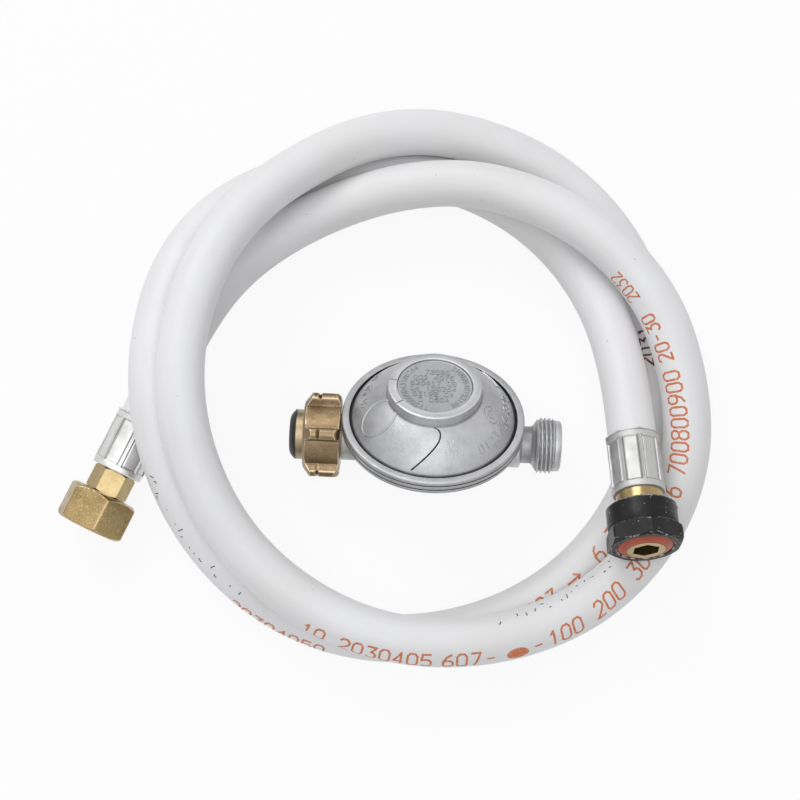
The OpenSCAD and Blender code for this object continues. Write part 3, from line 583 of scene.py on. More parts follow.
hoseMaterial = hoseFinish()
hose = sweptPiece("hose_tube", routeLine, hoseRadius, hoseSet["sides"], hoseMaterial)
built = bmesh.new()
built.from_mesh(hose.data)
welded(built)
bmesh.ops.recalc_face_normals(built, faces=built.faces)
built.to_mesh(hose.data)
built.free()
dress(hose, "hose_assembly", hoseMaterial, "hose")
print("hose done")

# lengths and directions along the hose, for what is printed on it
routeSteps = np.linalg.norm(np.diff(routeLine, axis=0), axis=1)
routeLengths = np.concatenate([[0], np.cumsum(routeSteps)])
routeHeadings = np.gradient(routeLine, axis=0)
routeHeadings /= np.linalg.norm(routeHeadings, axis=1)[:, None]
printSet = {
    "orange": ((0.60, 0.17, 0.06), (0.68, 0.28, 0.14)), "red": ((0.12, 0.02, 0.02), (0.30, 0.10, 0.08)),
    "black": ((0.05, 0.045, 0.045), (0.16, 0.13, 0.13)), "thick": 0.045, "sink": 0.12,
    "faceUp": Vector((0, -0.225, 0.974))}


def onHose(length, angle, lift=0.0):
    # a point of the skin: angle 0 faces a little forward of straight up, positive away from the coil's middle
    centre = Vector([np.interp(length, routeLengths, routeLine[:, i]) for i in range(3)])
    heading = Vector([np.interp(length, routeLengths, routeHeadings[:, i]) for i in range(3)]).normalized()
    outward = heading.cross(printSet["faceUp"]).normalized()
    if outward.dot(Vector((centre.x, centre.y - 15, 0))) < 0:
        outward = -outward
    top = outward.cross(heading)
    top = top if top.dot(printSet["faceUp"]) > 0 else -top
    normal = (top * cos(angle) + outward * sin(angle)).normalized()
    return centre + normal * (hoseRadius + lift), normal


def printedLine(built, text, start, width, height, pitch, pen, angles, keep=None):
    # figures that read towards the brass end, with their tops towards the coil's middle
    spots, turns = [a[0] for a in angles], [radians(a[1]) for a in angles]
    random = np.random.default_rng(keep[1]) if keep else None
    for stroke in written(text, width, height, pitch):
        line = finer(stroke, 0.5)
        if keep:
            first = int(random.integers(0, max(1, len(line) - 2)))
            line = line[first:first + int(random.integers(2, 2 + keep[0]))]
            if len(line) < 2 or random.random() < 0.12:
                continue
        points, normals = [], []
        for x, y in line:
            length = start - x
            spot, normal = onHose(length, np.interp(length, spots, turns) - y / hoseRadius)
            points.append(spot)
            normals.append(normal)
        ridge(built, points, normals, pen, printSet["thick"], printSet["sink"])


def printedPiece(name, material, lines):
    built = bmesh.new()
    for line in lines:
        printedLine(built, **line)
    made = finished(name, built, Matrix.Scale(mm, 4), 60)
    dress(made, "hose_assembly", material)
    return made


rowOne = [(222, -62), (240, -55), (255, -44), (270, -36), (290, -28), (312, -21), (330, -9), (345, 3),
    (360, 15), (371, 25), (381, 32), (392, 37), (402, 41), (420, 43), (440, 47), (455, 52), (476, 66)]
rowOneText = [("10", 467.5), ("2030405", 454.5), ("607", 420.8), ("-", 407), ("-", 391),
    ("100 200 3004005", 385.5), ("6", 317.5), ("700800900", 309.5)]
big = {"width": 3.1, "height": 6.2, "pitch": 4.45, "pen": 0.76}
small = {"width": 1.7, "height": 3.1, "pitch": 2.5, "pen": 0.4}
orangePrint = printedPiece("hose_print_orange", inkFinish("inkOrange", *printSet["orange"]), [
    dict(big, text=text, start=start, angles=rowOne) for text, start in rowOneText] + [
    dict(big, text="20-30", start=266.5, angles=rowOne, width=2.8, pitch=4.0, height=5.7),
    dict(big, text="2032", start=240, angles=rowOne, width=2.4, pitch=3.3, height=6.0, pen=0.6),
    dict(big, text="5003", start=963, angles=[(900, 4), (925, 4), (940, 8), (962, 16)]),
    dict(big, text=">", start=940, angles=[(900, 4), (925, 4), (940, 6)]),
    dict(big, text="6 7", start=927.5, angles=[(900, 2), (927, 4)]),
    dict(big, text="20304050", start=1063, angles=[(1015, 64), (1040, 70), (1060, 76), (1078, 80)])])
redPrint = printedPiece("hose_print_red", inkFinish("inkRed", *printSet["red"]), [
    dict(width=2.7, height=4.2, pitch=4.0, pen=0.75, text="2031", start=852,
    angles=[(830, -26), (856, -20)])])
blackPrint = printedPiece("hose_print_black", inkFinish("inkBlack", *printSet["black"]), [
    dict(small, text="30 10 400 17-8 05 3001 60", start=402, keep=(4, 4),
    angles=[(340, -56), (371, -56), (402, -50)]),
    dict(small, text="4500 80-17 300 0045 17", start=1114, keep=(5, 9),
    angles=[(1058, 24), (1080, 30), (1100, 42), (1114, 49)])])

# plain dot between the two dashes
dotSet = {"length": 396.5, "angle": radians(44), "radius": 2.9, "long": 1.25, "wide": 0.9, "sides": 40}
dot = SimpleNamespace(**dotSet)


def dotRing(built, part, rise):
    ring = []
    for k in range(dot.sides):
        a = 2 * pi * k / dot.sides
        spot, normal = onHose(dot.length + dot.radius * dot.long * part * cos(a),
            dot.angle + dot.radius * dot.wide * part * sin(a) / hoseRadius)
        ring.append(built.verts.new(spot + normal * rise))
    return ring


built = bmesh.new()
centre, normal = onHose(dot.length, dot.angle)
rises = (printSet["thick"], -printSet["sink"])
layers = [[dotRing(built, part, rise) for part in (1.0, 0.66, 0.33)] for rise in rises]
middles = [built.verts.new(centre + normal * rise) for rise in rises]
turns = [(k, (k + 1) % dot.sides) for k in range(dot.sides)]
for rings, middle in zip(layers, middles):
    for a, b in zip(rings, rings[1:]):
        for k, n in turns:
            built.faces.new((a[k], a[n], b[n], b[k]))
    for k, n in turns:
        built.faces.new((rings[-1][k], rings[-1][n], middle))
top, low = layers[0][0], layers[1][0]
for k, n in turns:
    built.faces.new((top[k], top[n], low[n], low[k]))
bmesh.ops.recalc_face_normals(built, faces=built.faces)
printDot = finished("hose_print_dot", built, Matrix.Scale(mm, 4), 60)
dress(printDot, "hose_assembly", orangePrint.data.materials[0])
print("print done")

# the hose's two ends
brassAxis = Vector(joints["brass_nut_turn"]["axis"]).normalized()
blackAxis = Vector(joints["black_nut_turn"]["axis"]).normalized()


def endPlacing(axis, origin):
    # origin on the ferrule's mouth, Z towards the open nut, -X upwards
    level, turn = math.acos(axis.z), math.atan2(axis.y, axis.x)
    across = Vector((cos(level) * cos(turn), cos(level) * sin(turn), -sin(level)))
    return placing(across, axis, Vector(origin) * mm)


brassPlace = endPlacing(brassAxis, routePoints[0])
blackPlace = endPlacing(blackAxis, routePoints[-1])


def step01(value, low, high):
    t = np.clip((value - low) / (high - low), 0, 1)
    return t * t * (3 - 2 * t)


def offCorner(angles, count, turn):
    # angle to the nearest of count corners, the first one at turn degrees
    pitch = 2 * pi / count
    return (angles - radians(turn) + pitch / 2) % pitch - pitch / 2


ferruleSet = {"band": 2.6, "bandR": 9.22, "flatR": 8.72, "ridgeR": 9.4, "ridgeW": 0.5, "groove": 0.22,
    "ridges": 8, "lip": 0.22, "hoseR": 8.53, "stepR": 8.1, "holeR": 6.62, "endWall": 1.5}
s = SimpleNamespace(**ferruleSet)


def ferrulePiece(name, matrix, length, turn, material):
    far = length - s.band

    def offRidge(angles):
        return np.abs(offCorner(angles, s.ridges, turn))

    def outside(z):
        pressed = step01(z, s.band - 0.5, s.band + 0.3) * (1 - step01(z, far - 0.3, far + 0.5))

        def radius(angles):
            off = offRidge(angles)
            flat = s.flatR / np.cos(np.minimum(pi / s.ridges - off, 0.34))
            flat = s.flatR + 0.5 * (flat - s.flatR) + 0.04 * np.sin(5 * angles + z * 0.7)
            away = off * 9.2
            ridges = (s.ridgeR - flat) * (1 - step01(away, s.ridgeW, s.ridgeW + 0.22))
            dip = s.groove * np.exp(-((away - s.ridgeW - 0.45) / 0.22) ** 2)
            seam = 0.07 * np.exp(-(away / 0.14) ** 2)
            shaped = flat + ridges - dip - seam
            wave = 0.05 * np.sin(3 * angles + 1.3)
            return s.bandR * (1 - pressed) + shaped * pressed + wave * (1 - pressed) * 0.6
        return radius

    def lipRadius(angles):
        peak = np.exp(-(offRidge(angles) / 0.12) ** 2)
        return s.bandR + s.lip * (0.4 + 1.3 * peak) + 0.05 * np.sin(3 * angles)

    def lipHeight(angles):
        return 0.05 - 0.3 * np.exp(-(offRidge(angles) / 0.1) ** 2) + 0.08 * np.sin(2 * angles + 1)

    levels = sorted({0.35, 0.7, 1.0, 1.6, *np.linspace(s.band - 0.6, s.band + 0.4, 7),
        *np.linspace(s.band + 1.5, far - 1.5, 12), *np.linspace(far - 0.4, far + 0.6, 7),
        length - 1.2, length - 0.7})
    rows = [(8.6, 0.05), (8.95, lambda angles: lipHeight(angles) - 0.05), (lipRadius, lipHeight),
        (lambda angles: lipRadius(angles) - 0.02, lambda angles: lipHeight(angles) + 0.2)]
    rows += [(outside(z), z) for z in levels]
    rows += around(s.bandR, length, [(-0.05, -0.35), (-0.3, -0.08), (-0.8, 0)])
    rows += [(s.holeR, length), (s.holeR, length - s.endWall), (s.stepR, length - s.endWall),
        (s.stepR, s.band), (s.hoseR, s.band), (s.hoseR, 0.2)]
    piece = turnedMesh(name, rows, 336, matrix, 40)
    dress(piece, "hose_assembly", material, name.replace("_shell", ""), 12.0)
    return piece


brassEnd = {"ferrule": 21.0, "nutZ": 30.0, "nutL": 13.4, "af": 23.0, "turn": -23.0, "bevel": 1.3,
    "shoulder": 3.0, "shank": 8.5, "crest": 9.32, "root": 10.48, "pitch": 1.814}
blackEnd = {"ferrule": 21.5, "collarZ": 26.3, "hexZ": 34.5, "collarR": 12.2, "af": 24.1, "turn": -5.0,
    "shank": 8.35, "crest": 9.19, "root": 10.0, "pitch": 1.5, "face": 41.1, "sealDepth": 2.5}
brass, black = SimpleNamespace(**brassEnd), SimpleNamespace(**blackEnd)
ferruleA = ferrulePiece("brass_end_ferrule_shell", brassPlace, brass.ferrule, 167.2,
    platedFinish("platedSteelA", (0.69, 0.69, 0.685), 0.36, brassAxis))
# painted shade: the black end's ferrule is the same plated steel, in a darker copy so its flat facets reflect
# the lamps less
ferruleB = ferrulePiece("black_end_ferrule_shell", blackPlace, black.ferrule, 172.0,
    platedFinish("platedSteelShadedCopy", (0.50, 0.50, 0.495), 0.50, blackAxis))


def hexRadius(flats, turn, limit):
    # distance to a hexagon's side, cut off by a round limit, with slightly soft corners
    def radius(angles):
        off = np.abs(offCorner(angles, 6, turn))
        side = flats / 2 / np.cos(pi / 6 - off)
        return -np.log(np.exp(-14 * side) + np.exp(-14 * limit)) / 14
    return radius


def hexRows(z0, z1, flats, turn, bevelLow, bevelHigh, start=None):
    # side of a hexagon between two chamfers turned at 30 degrees
    corner = flats / 2 / cos(pi / 6) - 0.15
    first = start if start is not None else flats / 2 - 0.35
    tall, slope, rows = z1 - z0, 0.58, []
    levels = [*np.linspace(0, bevelLow, 9), *np.linspace(bevelLow, tall - bevelHigh, 5)[1:],
        *np.linspace(tall - bevelHigh, tall, 9)[1:]]
    for h in levels:
        low, high = first + h / slope, flats / 2 - 0.35 + (tall - h) / slope
        rows.append((hexRadius(flats, turn, min(corner, low, high)), z0 + h))
    return rows


def threadRows(crest, root, pitch, z0, z1):
    # a helical thread as rings whose radius turns with the angle
    rows = []
    for z in np.arange(z0, z1 + 1e-6, pitch / 12):
        fade = step01(z, z0, z0 + pitch * 0.6) * (1 - step01(z, z1 - pitch * 0.6, z1))

        def radius(angles, z=z, fade=fade):
            phase = ((z - pitch * angles / (2 * pi)) / pitch) % 1.0
            deep = np.clip(1.35 - 3.2 * np.abs(phase - 0.5), 0, 1)
            return crest + (root - crest) * deep * fade
        rows.append((radius, float(z)))
    return rows


nutTop, shoulder = brass.nutZ + brass.nutL, brass.nutZ + brass.shoulder
outer = hexRows(brass.nutZ, nutTop, brass.af, brass.turn, brass.bevel, brass.bevel)
inner = [(brass.root + 0.5, nutTop), (brass.root + 0.25, nutTop), (brass.crest, nutTop - 1.1)]
inner += threadRows(brass.crest, brass.root, brass.pitch, brass.nutZ + 7.6, nutTop - 1.2)[::-1]
inner += [(brass.root + 0.04, brass.nutZ + 7.4), (brass.root + 0.04, shoulder), (brass.shank, shoulder),
    (brass.shank, brass.nutZ)]
brassNut = turnedMesh("brass_nut_body", outer + inner, 300, brassPlace, 28)
brassMaterial = brassFinish("brassTurned", (0.38, 0.275, 0.13), (0.25, 0.168, 0.07), (0.62, 0.50, 0.29), 0.30,
    brassAxis, 0.45, 0.5)
dress(brassNut, "brass_swivel_nut", brassMaterial, "brass_nut", 16.0)

outer = [(9.6, black.collarZ)]
outer += around(black.collarR, black.collarZ, [(-0.75, 0), (-0.35, 0.1), (-0.08, 0.4), (0, 0.9)])
outer += around(black.collarR, 0, [(0, 28.5), (0, 31.0), (0, 33.2), (-0.15, 34.0), (-0.35, 34.35)])
outer += hexRows(black.hexZ, black.face, black.af, black.turn, 0.9, 1.4, start=black.collarR - 0.3)
inner = around(0, black.face, [(11.45, 0), (10.45, 0), (10.2, 0), (9.78, -0.35), (9.72, -2.8)])
inner += threadRows(black.crest, black.root, black.pitch, 34.0, 38.2)[::-1]
inner += [(black.crest, 33.8), (black.shank, 33.5), (black.shank, black.collarZ)]
blackNut = turnedMesh("black_nut_body", outer + inner, 300, blackPlace, 28)
oxideMaterial = oxideFinish("blackOxide")
dress(blackNut, "black_swivel_nut", oxideMaterial, "black_nut", 18.0)

outline = around(0, black.face - black.sealDepth, [(6.66, 0), (9.62, 0), (9.62, 1.95, 0.5), (9.2, 2.35, 0.5),
    (7.6, 3.22, 0.4), (6.66, 3.3, 0.1)])
redSeal = turnedMesh("black_end_seal_ring", softened(outline, 0.15), 160, blackPlace, 40)
redMaterial = softFinish("redSeal", (0.44, 0.085, 0.035), (0.34, 0.06, 0.03), 0.42)
dress(redSeal, "hose_assembly", redMaterial, "black_end_seal")
print("ends done")

# regulator
pipeDir = Vector(joints["union_nut_turn"]["axis"]).normalized()
domeDir = Vector(joints["diaphragm_stroke"]["axis"]).normalized()
regCentre = Vector(joints["union_nut_turn"]["pos_m"]) + pipeDir * 35.9 * mm
regPlace = placing(pipeDir, domeDir, regCentre)


def alongPipe(x):
    # Z along the pipe to the outlet
    return placing(-domeDir, pipeDir, regCentre + pipeDir * x * mm)


def alongInlet(x):
    # Z along the pipe to the inlet, from x left of the middle
    return placing(domeDir, -pipeDir, regCentre - pipeDir * x * mm)


castSet = {"sumpH": 11.4, "sumpR": 13.5, "rimR": 32.5, "rimZ": 7.2, "rimTop": 12.4, "lipR": 29.9, "lipT": 1.5,
    "seatR": 31.3, "ledgeR": 27.0, "ledgeZ": 8.4, "inletR": 8.5, "outletR": 8.4, "neckR": 6.65,
    "threadX": 37.7, "threadL": 5.1, "leadR": 9.1, "endX": 46.1, "bore": 5.0}
cast = SimpleNamespace(**castSet)
parting = 8.75
outline = [(0, -cast.sumpH), (cast.sumpR, -cast.sumpH, 0.7)]
outline += around(cast.rimR, cast.rimZ, [(-0.55, -0.4, 0.3), (0, 0.1, 0.25)])
outline += around(cast.rimR, parting, [(0, -0.3, 0.05), (-0.28, -0.12, 0.05), (-0.28, 0.1, 0.05),
    (0, 0.28, 0.05)])
outline += around(cast.rimR, 0, [(-0.02, 10.3, 0.05), (-0.26, 10.48, 0.05), (-0.26, 10.66, 0.05),
    (-0.03, 10.86, 0.03)])
outline += around(cast.rimR, cast.rimTop, [(0, -0.35, 0.3), (-0.4, 0, 0.3)])
outline += [(cast.lipR + 0.1, cast.rimTop + 0.02, 0.3), (cast.lipR, cast.rimTop - cast.lipT, 0.1),
    (cast.seatR, cast.rimTop - cast.lipT), (cast.seatR, cast.ledgeZ), (cast.ledgeR, cast.ledgeZ),
    (cast.ledgeR, 4.8), (13.7, -8.4), (0, -8.4)]
housing = turnedMesh("lower_housing_cast", softened(outline, 0.2), 192, regPlace)
cavityLine = [(0, cast.ledgeZ - 0.05), (cast.ledgeR - 0.01, cast.ledgeZ - 0.05), (cast.ledgeR - 0.01, 4.81),
    (13.69, -8.39), (0, -8.39)]
cavity = turnedMesh("cavity", cavityLine, 192, regPlace)
inletLine = [(0, -14.0), (cast.inletR, -14.0), (cast.inletR, 0, 0.5), (0, 0)]
inletBoss = turnedMesh("inletBoss", softened(inletLine, 0.4), 120, alongInlet(cast.rimR))
t0, t1 = cast.threadX, cast.threadX + cast.threadL
pipe = [(0, 16.0)] + around(cast.outletR, 0, [(0, 16.0), (0, 31.1), (-0.25, 31.5), (-0.6, 31.7)])
pipe += around(cast.neckR, 0, [(0.5, 31.75), (0.15, 31.9), (0, 32.4), (0, 35.3), (0.2, 35.75), (0.7, 36.2)])
pipe += [(8.9, t0 - 0.45)] + threadRows(9.12, 10.0, 1.5, t0 - 0.4, t1 + 1.0) + [(cast.leadR + 0.1, t1 + 1.15)]
pipe += around(cast.leadR, cast.endX, [(0, -0.8), (-0.2, -0.3), (-0.7, 0)])
pipe += around(cast.bore, cast.endX, [(0.5, 0), (0, -0.5)]) + [(cast.bore, 20.0), (0, 20.0)]
outletPipe = turnedMesh("outletPipe", pipe, 192, alongPipe(0))


def rod(name, radius, low, high, matrix):
    return turnedMesh(name, [(0, low), (radius, low), (radius, high), (0, high)], 96, matrix)


inletHole = rod("inletHole", 6.05, -12.0, 2.0, alongInlet(cast.rimR))
outletHole = rod("outletHole", cast.bore - 0.01, 10.0, 21.0, alongPipe(0))
carve(housing, [inletBoss, outletPipe], "UNION")
carve(housing, [cavity, outletHole, inletHole])
# painted shade: a near-black material laid on faces in gaps and grooves, where shade falls
paintedGapShade = softFinish("paintedShadeInGaps", (0.045, 0.045, 0.048), (0.02, 0.02, 0.022), 0.8, 300.0)
zamak = castFinish("castZinc", (0.50, 0.502, 0.513), (0.60, 0.60, 0.61), 0.66, 0.42, 1.0)
dress(housing, "regulator", zamak, "lower_housing", 16.0)
# painted shade inside the rim's lip round the cover's foot and in the grooves along the rim's side
shadeFaces(housing, regPlace, lambda r, z: (
    cast.lipR - 0.15 < r < cast.seatR + 0.1 and 8.4 < z < cast.rimTop - 0.3)
    or (cast.rimR - 0.3 < r < cast.rimR - 0.12 and 8.2 < z < 10.9), paintedGapShade)

coverSet = {"footR": 29.1, "footZ": 11.9, "bossR": 16.5, "bossZ": 23.4, "topZ": 27.8, "bulge": 1.2,
    "capR": 13.25, "capTop": 27.3, "wall": 2.4}
dome = SimpleNamespace(**coverSet)


def domeLine(inset):
    # side of the cover from its foot to the boss
    foot, head = Vector((dome.footR, dome.footZ)), Vector((dome.bossR + 0.5, dome.bossZ))
    chord, parts = head - foot, 28
    out = Vector((chord.y, -chord.x)).normalized()
    return [foot + chord * i / parts + out * (4 * dome.bulge * i / parts * (1 - i / parts) - inset)
        for i in range(parts + 1)]


domeSide = domeLine(0)
domeRadii = np.array([p.x for p in domeSide])[::-1]
domeHeights = np.array([p.y for p in domeSide])[::-1]
skirt = [(27.0, 9.0), (31.25, 9.0, 0.1), (31.25, 10.85, 0.1), (dome.footR + 0.1, 10.85, 0.1),
    (dome.footR + 0.12, dome.footZ - 0.5, 0.3)]
foot = [(p.x, p.y) for p in domeSide[1:-1]]
boss = around(dome.bossR, dome.bossZ, [(0.75, -0.1), (0.32, 0.18), (0.08, 0.6), (0, 1.2)])
boss += around(dome.bossR, dome.topZ, [(-0.05, -0.75), (-0.14, -0.32), (-0.42, -0.07), (-0.8, 0)])
boss += around(dome.capR, dome.topZ, [(0.35, 0), (0.08, -0.18)])
boss += [(dome.capR + 0.05, 25.1), (11.05, 25.1), (11.05, 19.5), (13.4, 19.5)]
innerSide = [(p.x, p.y) for p in domeLine(dome.wall) if 13.6 < p.x < 26.6][::-1]
coverLine = softened(skirt, 0.15) + foot + boss + [(13.4, innerSide[0][1] + 0.1)] + innerSide
cover = turnedMesh("upper_cover_cast", coverLine, 256, regPlace)


def onDome(radius, angle, lift=0.0):
    # a point of the cover's outside and its normal, in the regulator's millimetres
    height = float(np.interp(radius, domeRadii, domeHeights))
    above = float(np.interp(radius + 0.2, domeRadii, domeHeights))
    normal = Vector((height - above, 0.2)).normalized()
    flat = Vector((cos(angle), sin(angle), 0))
    up = flat * normal.x + Vector((0, 0, normal.y))
    return flat * radius + Vector((0, 0, height)) + up * lift, up


grooveSpots = [(0.0, -16.2), (0.6, -16.9), (1.9, -17.3), (2.6, -18.4), (2.6, -20.3), (1.2, -22.3),
    (-0.8, -24.2), (-3.2, -25.8), (-5.2, -26.8), (-7.0, -27.5)]
line = np.array([onDome(math.hypot(x, y), math.atan2(y, x), 0.1)[0] for x, y in
    smoothRoute(np.array([(x, y, 0.0) for x, y in grooveSpots]), 6)[:, :2]])
groove = sweptPiece("groove", line, 0.33, 12, zamak)
groove.data.transform(Matrix.Scale(1000, 4))
groove.data.transform(regPlace)
slots = []
for degrees in (173, 217):
    slot = bmesh.new()
    bmesh.ops.create_cube(slot, size=1.0)
    bmesh.ops.scale(slot, vec=(3.6, 0.75, 1.0), verts=slot.verts)
    bmesh.ops.translate(slot, vec=(dome.capR + 1.75, 0, dome.topZ), verts=slot.verts)
    bmesh.ops.rotate(slot, cent=(0, 0, 0), matrix=Matrix.Rotation(radians(degrees), 3, "Z"), verts=slot.verts)
    slots.append(finished("slot", slot, regPlace))
carve(cover, [groove] + slots)
dress(cover, "regulator", zamak, "upper_cover", 16.0)
# painted shade under the cover's skirt and inside the S-groove on the cover
shadeFaces(cover, regPlace, lambda r, z: (28.7 < r < 31.3 and z < dome.footZ - 0.25)
    or (17.2 < r < 28.5 and -1.0 < z - float(np.interp(r, domeRadii, domeHeights)) < -0.025), paintedGapShade)

markSet = {"width": 0.42, "height": 0.38, "lowHeight": 0.07, "sink": 0.3}


def domeText(built, text, radius, degrees, size, outward=False, pen=markSet["width"],
        height=markSet["height"]):
    # raised figures round the cover; outward turns their tops to the rim
    sign = -1 if outward else 1
    for stroke in written(text, size * 0.55, size, size * 0.95):
        data = []
        for x, y in finer(stroke, 0.6):
            data.append(onDome(radius - sign * y * 0.8, radians(degrees) + sign * x / radius))
        ridge(built, *zip(*data), pen, height, markSet["sink"])


def domeLoop(built, middle, radii, turn=0.0, pen=markSet["width"]):
    # an oval bead on the cover round a middle given as (x, y)
    count = 64
    data = []
    for k in range(count + 1):
        a = radians(360 * k / count)
        x, y = radii[0] * cos(a), radii[1] * sin(a)
        x, y = middle[0] + x * cos(turn) - y * sin(turn), middle[1] + x * sin(turn) + y * cos(turn)
        data.append(onDome(math.hypot(x, y), math.atan2(y, x)))
    ridge(built, *zip(*data), pen, markSet["height"], markSet["sink"])


built = bmesh.new()
domeText(built, "01234567890", 25.6, -50, 2.9)
domeText(built, "30 50 10", 24.6, 187, 2.5, True)
domeLoop(built, (-19.0, -9.6), (5.9, 5.9), pen=0.75)
domeLoop(built, (20.0, -6.3), (2.2, 3.0), 0.3)
domeLoop(built, (20.0, -6.3), (0.9, 1.3), 0.3)
for r0 in (24.6, 25.4):
    ridge(built, *zip(*[onDome(r0, radians(26 + k)) for k in range(22)]), 0.5, 0.4, 0.25)
lowText = (("3008", 24.2, -128), ("17 45", 21.2, -130), ("1020", 24.6, -80), ("50 3", 21.4, -78))
for text, radius, degrees in lowText:
    domeText(built, text, radius, degrees, 1.9, pen=0.6, height=markSet["lowHeight"])
coverMarks = finished("upper_cover_marks", built, regPlace, 50)
dress(coverMarks, "regulator", zamak)

# cap
capFace = dome.capTop - 0.06
capOutline = [(0, 25.15)] + around(dome.capR, 0, [(-0.3, 25.15, 0.1), (0, 25.4, 0.1), (0, 27.05, 0.1)])
capOutline += around(dome.capR, dome.capTop, [(-0.25, 0, 0.1), (-0.6, 0, 0.1), (-0.8, -0.06, 0.1)])
capOutline.append((0, capFace))
cap = turnedMesh("top_cap_disc", softened(capOutline, 0.1), 160, regPlace)
capMaterial = castFinish("capZinc", (0.43, 0.438, 0.448), (0.50, 0.507, 0.516), 0.66, 0.40, 1.3)
dress(cap, "regulator", capMaterial, "top_cap", 16.0)
built = bmesh.new()


capSet = {"ring": 11.2, "ringSize": 1.8, "size": 2.0, "rows": 6, "step": 2.75, "half": 8.9, "pitch": 0.92}
marks = SimpleNamespace(**capSet)


def capLine(text, size, placed):
    # low figures on the cap; placed turns a point of the line into one of the face
    for stroke in written(text, size * 0.55, size, size * marks.pitch):
        spots = [Vector((*placed(x, y), capFace)) for x, y in finer(stroke, 0.5)]
        ridge(built, spots, [Vector((0, 0, 1))] * len(spots), 0.36, 0.32, 0.1)


def onRing(degrees):
    def placed(x, y):
        a = radians(degrees) - x / marks.ring
        return (marks.ring + y) * cos(a), (marks.ring + y) * sin(a)
    return placed


figures = "17308050431002640753198204"
capLine(figures[:16], marks.ringSize, onRing(258))
capLine(figures[9:23], marks.ringSize, onRing(58))
for row in range(marks.rows):
    level = (marks.rows - 1) / 2 * marks.step - row * marks.step
    half = math.sqrt(max(0.0, marks.half ** 2 - level * level))
    count = int(2 * half / (marks.size * marks.pitch))
    text = "".join(" " if (row * 5 + k * 3) % 7 == 0 else figures[(row * 11 + k) % len(figures)]
        for k in range(count))
    capLine(text, marks.size, lambda x, y: (-half + 0.3 + x, level + y))
capMarks = finished("top_cap_marks", built, regPlace, 50)
dress(capMarks, "regulator", capMaterial)

# union nut, stem and nose seal
unionSet = {"x": 32.9, "length": 13.2, "body": 13.45, "crest": 16.85, "lugs": 6, "turn": -32.3 - 11.0,
    "mouth": 10.15, "notch": 5.6, "lugHalf": 1.6, "shank": 7.62, "threadCrest": 9.19,
    "threadRoot": 10.0}
u = SimpleNamespace(**unionSet)


def unionRows():
    # the two turned ends of the nut cut its lugs; a groove runs across them
    rows = []
    levels = sorted({*np.linspace(0.0, 3.0, 13), *np.linspace(3.0, u.length - 6.6, 4),
        *np.linspace(u.length - 6.4, u.length - 4.2, 12),
        *np.linspace(u.length - 4.0, u.length, 15)})
    for z in levels:
        back = u.length - z
        lipLow = 12.6 + 4.3 * math.sqrt(max(0.0, 1 - (1 - min(1.0, z / 2.3)) ** 2))
        limit = min(lipLow, 11.7 + back / 0.60)
        groove = 0.75 * max(0.0, 1 - abs(back - u.notch) / 0.75)

        def radius(angles, limit=limit, groove=groove):
            off = np.abs(offCorner(angles, u.lugs, u.turn))
            body = u.body - 0.35 * np.cos((pi / 6 - off) * 3) ** 2
            away = off * 15.2
            lug = 1 - step01(away, u.lugHalf, u.lugHalf + 1.15)
            crest = u.crest - groove - 0.55 * (away / u.lugHalf) ** 2
            return np.minimum(body + (np.maximum(crest, body) - body) * lug, limit)
        rows.append((radius, float(z)))
    return rows


inner = [(u.mouth, u.length), (9.2, u.length - 0.8)]
inner += threadRows(u.threadCrest, u.threadRoot, 1.5, 5.6, u.length - 0.9)[::-1]
inner += [(u.threadCrest, 5.1), (u.shank, 5.1), (u.shank, 0.0)]
unionNut = turnedMesh("union_nut_body", unionRows() + inner, 432, alongInlet(u.x), 26)
unionMaterial = brassFinish("unionBrass", (0.26, 0.19, 0.11), (0.145, 0.093, 0.05), (0.62, 0.52, 0.36), 0.34,
    pipeDir, 0.8)
dress(unionNut, "lugged_union_nut", unionMaterial, "union_nut", 16.0)
noseOutline = [(5.56, 0.02), (8.98, 0.02), (8.98, 0.45, 0.3), (7.9, 1.6, 0.7), (6.6, 2.35, 0.5),
    (6.0, 2.48, 0.2), (5.56, 2.35, 0.1)]
nose = turnedMesh("nose_seal_ring", softened(noseOutline, 0.2), 144, alongInlet(48.7), 50)
blackRubber = softFinish("blackRubber", (0.018, 0.018, 0.02), (0.035, 0.035, 0.036), 0.45)
dress(nose, "regulator", blackRubber, "nose_seal")
print("regulator done")

# the CAD pieces that stay
steelMaterial = platedFinish("plainSteel", (0.55, 0.55, 0.55), 0.35, domeDir)
stemMaterial = brassFinish("stemBrass", (0.37, 0.295, 0.19), (0.26, 0.19, 0.115), (0.58, 0.48, 0.33), 0.3,
    pipeDir)
insertMaterial = brassFinish("insertBrass", (0.42, 0.325, 0.17), (0.30, 0.21, 0.095), (0.66, 0.57, 0.38),
    0.26, brassAxis)
bronzeMaterial = softFinish("sinteredBronze", (0.30, 0.17, 0.08), (0.20, 0.11, 0.05), 0.6, 900.0)
bareRubber = softFinish("bareRubber", (0.62, 0.62, 0.62), (0.54, 0.54, 0.53), 0.6)
keptPieces = {
    steelMaterial: ("spring_plate", "diaphragm_plate", "lever_pin"),
    brassMaterial: ("setting_disc", "diaphragm_stem", "lever", "inlet_nozzle", "valve_plunger"),
    insertMaterial: ("brass_end_insert", "black_end_insert"),
    stemMaterial: ("inlet_stem",),
    bronzeMaterial: ("inlet_filter",),
    blackRubber: ("valve_pad", "brass_end_gasket"),
    bareRubber: ("brass_end_hose_tail", "black_end_hose_tail"),
}
for material, names in keptPieces.items():
    for name in names:
        painted(frame["nodes"][name], material)


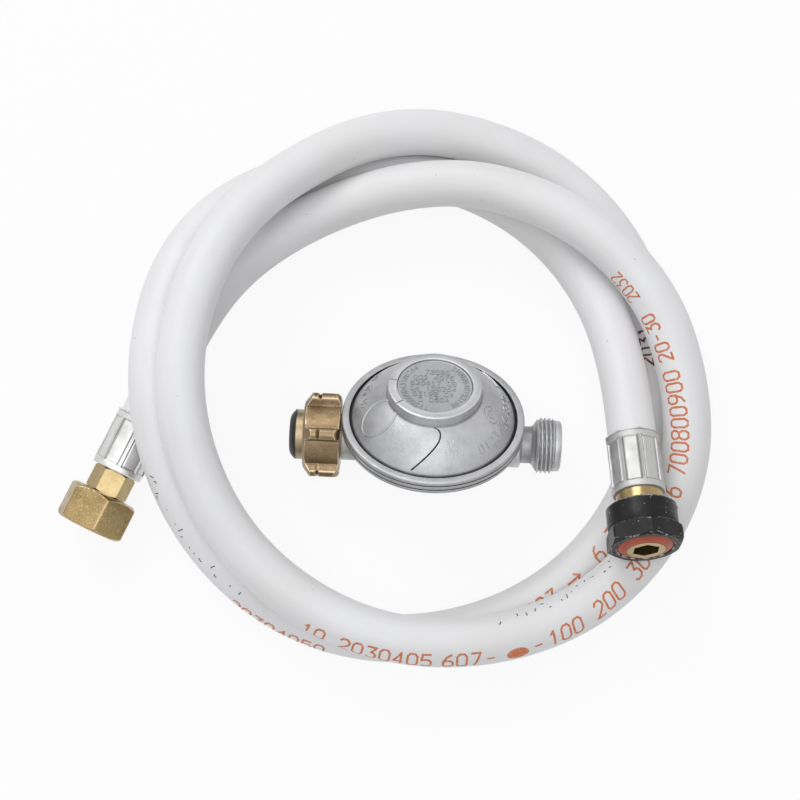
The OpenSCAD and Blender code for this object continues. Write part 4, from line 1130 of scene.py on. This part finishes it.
# the two inside pieces that give in use (the spring shortens, the diaphragm's middle rises), each copied here
# into a welded mesh of its own
def merged(node, name, material):
    built = bmesh.new()
    built.from_mesh(frame["nodes"][node].data)
    welded(built)
    piece = finished(name, built, Matrix.Identity(4), 40)
    painted(piece, material)
    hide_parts(node)
    heights = [(v.co - regCentre).dot(domeDir) for v in piece.data.vertices]
    return piece, min(heights), max(heights)


spring, low, high = merged("main_spring", "main_spring_coil", steelMaterial)
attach(spring, "regulator")
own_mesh(spring)
diaphragm, low, high = merged("diaphragm", "diaphragm_rubber", blackRubber)
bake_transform(diaphragm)
print("inside done")

# floor, world and light
lightSet = {"world": 0.50, "floorWhite": 0.90, "floorSize": 3, "aim": (0, 0, 0.02),
    "key": ((-0.45, 0.9, 1.0), 6.8, 0.8), "top": ((-0.1, -0.28, 1.3), 5.5, 1.1)}


def twoSided(owner, ending, shaders, share=1.0):
    # the first shader lights things; the camera, a reflection or clear stuff sees the second
    owner.use_nodes = True
    tree = owner.node_tree
    tree.nodes.clear()
    rays, mixed = tree.nodes.new("ShaderNodeLightPath").outputs, tree.nodes.new("ShaderNodeMixShader")
    seen = combined(tree, "ADD", rays["Is Camera Ray"], rays["Is Glossy Ray"])
    seen = combined(tree, "ADD", seen, rays["Is Transmission Ray"])
    tree.links.new(combined(tree, "MULTIPLY", seen, share), mixed.inputs["Fac"])
    for index, (kind, colour, strength) in enumerate(shaders, 1):
        made = tree.nodes.new(kind)
        made.inputs["Color"].default_value = (*colour, 1)
        if strength is not None:
            made.inputs["Strength"].default_value = strength
        tree.links.new(made.outputs[0], mixed.inputs[index])
    tree.links.new(mixed.outputs[0], tree.nodes.new(ending).inputs["Surface"])


floorMesh = bpy.data.meshes.new("floor")
half = lightSet["floorSize"]
corners = [(-half, -half, 0), (half, -half, 0), (half, half, 0), (-half, half, 0)]
floorMesh.from_pydata(corners, [], [(0, 1, 2, 3)])
linked("floor", floorMesh)
paper = bpy.data.materials.new("floorPaper")
twoSided(paper, "ShaderNodeOutputMaterial", (("ShaderNodeBsdfDiffuse", (0.86, 0.86, 0.86), None),
    ("ShaderNodeEmission", (1, 1, 1), 1.0)), lightSet["floorWhite"])
floorMesh.materials.append(paper)
world = bpy.data.worlds.new("softRoom")
bpy.context.scene.world = world
twoSided(world, "ShaderNodeOutputWorld", (("ShaderNodeBackground", (0.97, 0.98, 1.0), lightSet["world"]),
    ("ShaderNodeBackground", (1, 1, 1), 1.0)))


def softLamp(name, place, power, size):
    data = bpy.data.lights.new(name, "AREA")
    data.energy = power
    data.size = size
    lamp = linked(name, data)
    lamp.location = place
    lamp.rotation_euler = (Vector(lightSet["aim"]) - Vector(place)).to_track_quat("-Z", "Y").to_euler()


softLamp("keyLamp", *lightSet["key"])
softLamp("topLamp", *lightSet["top"])
bpy.context.scene.view_settings.view_transform = "Standard"
print("stage done")
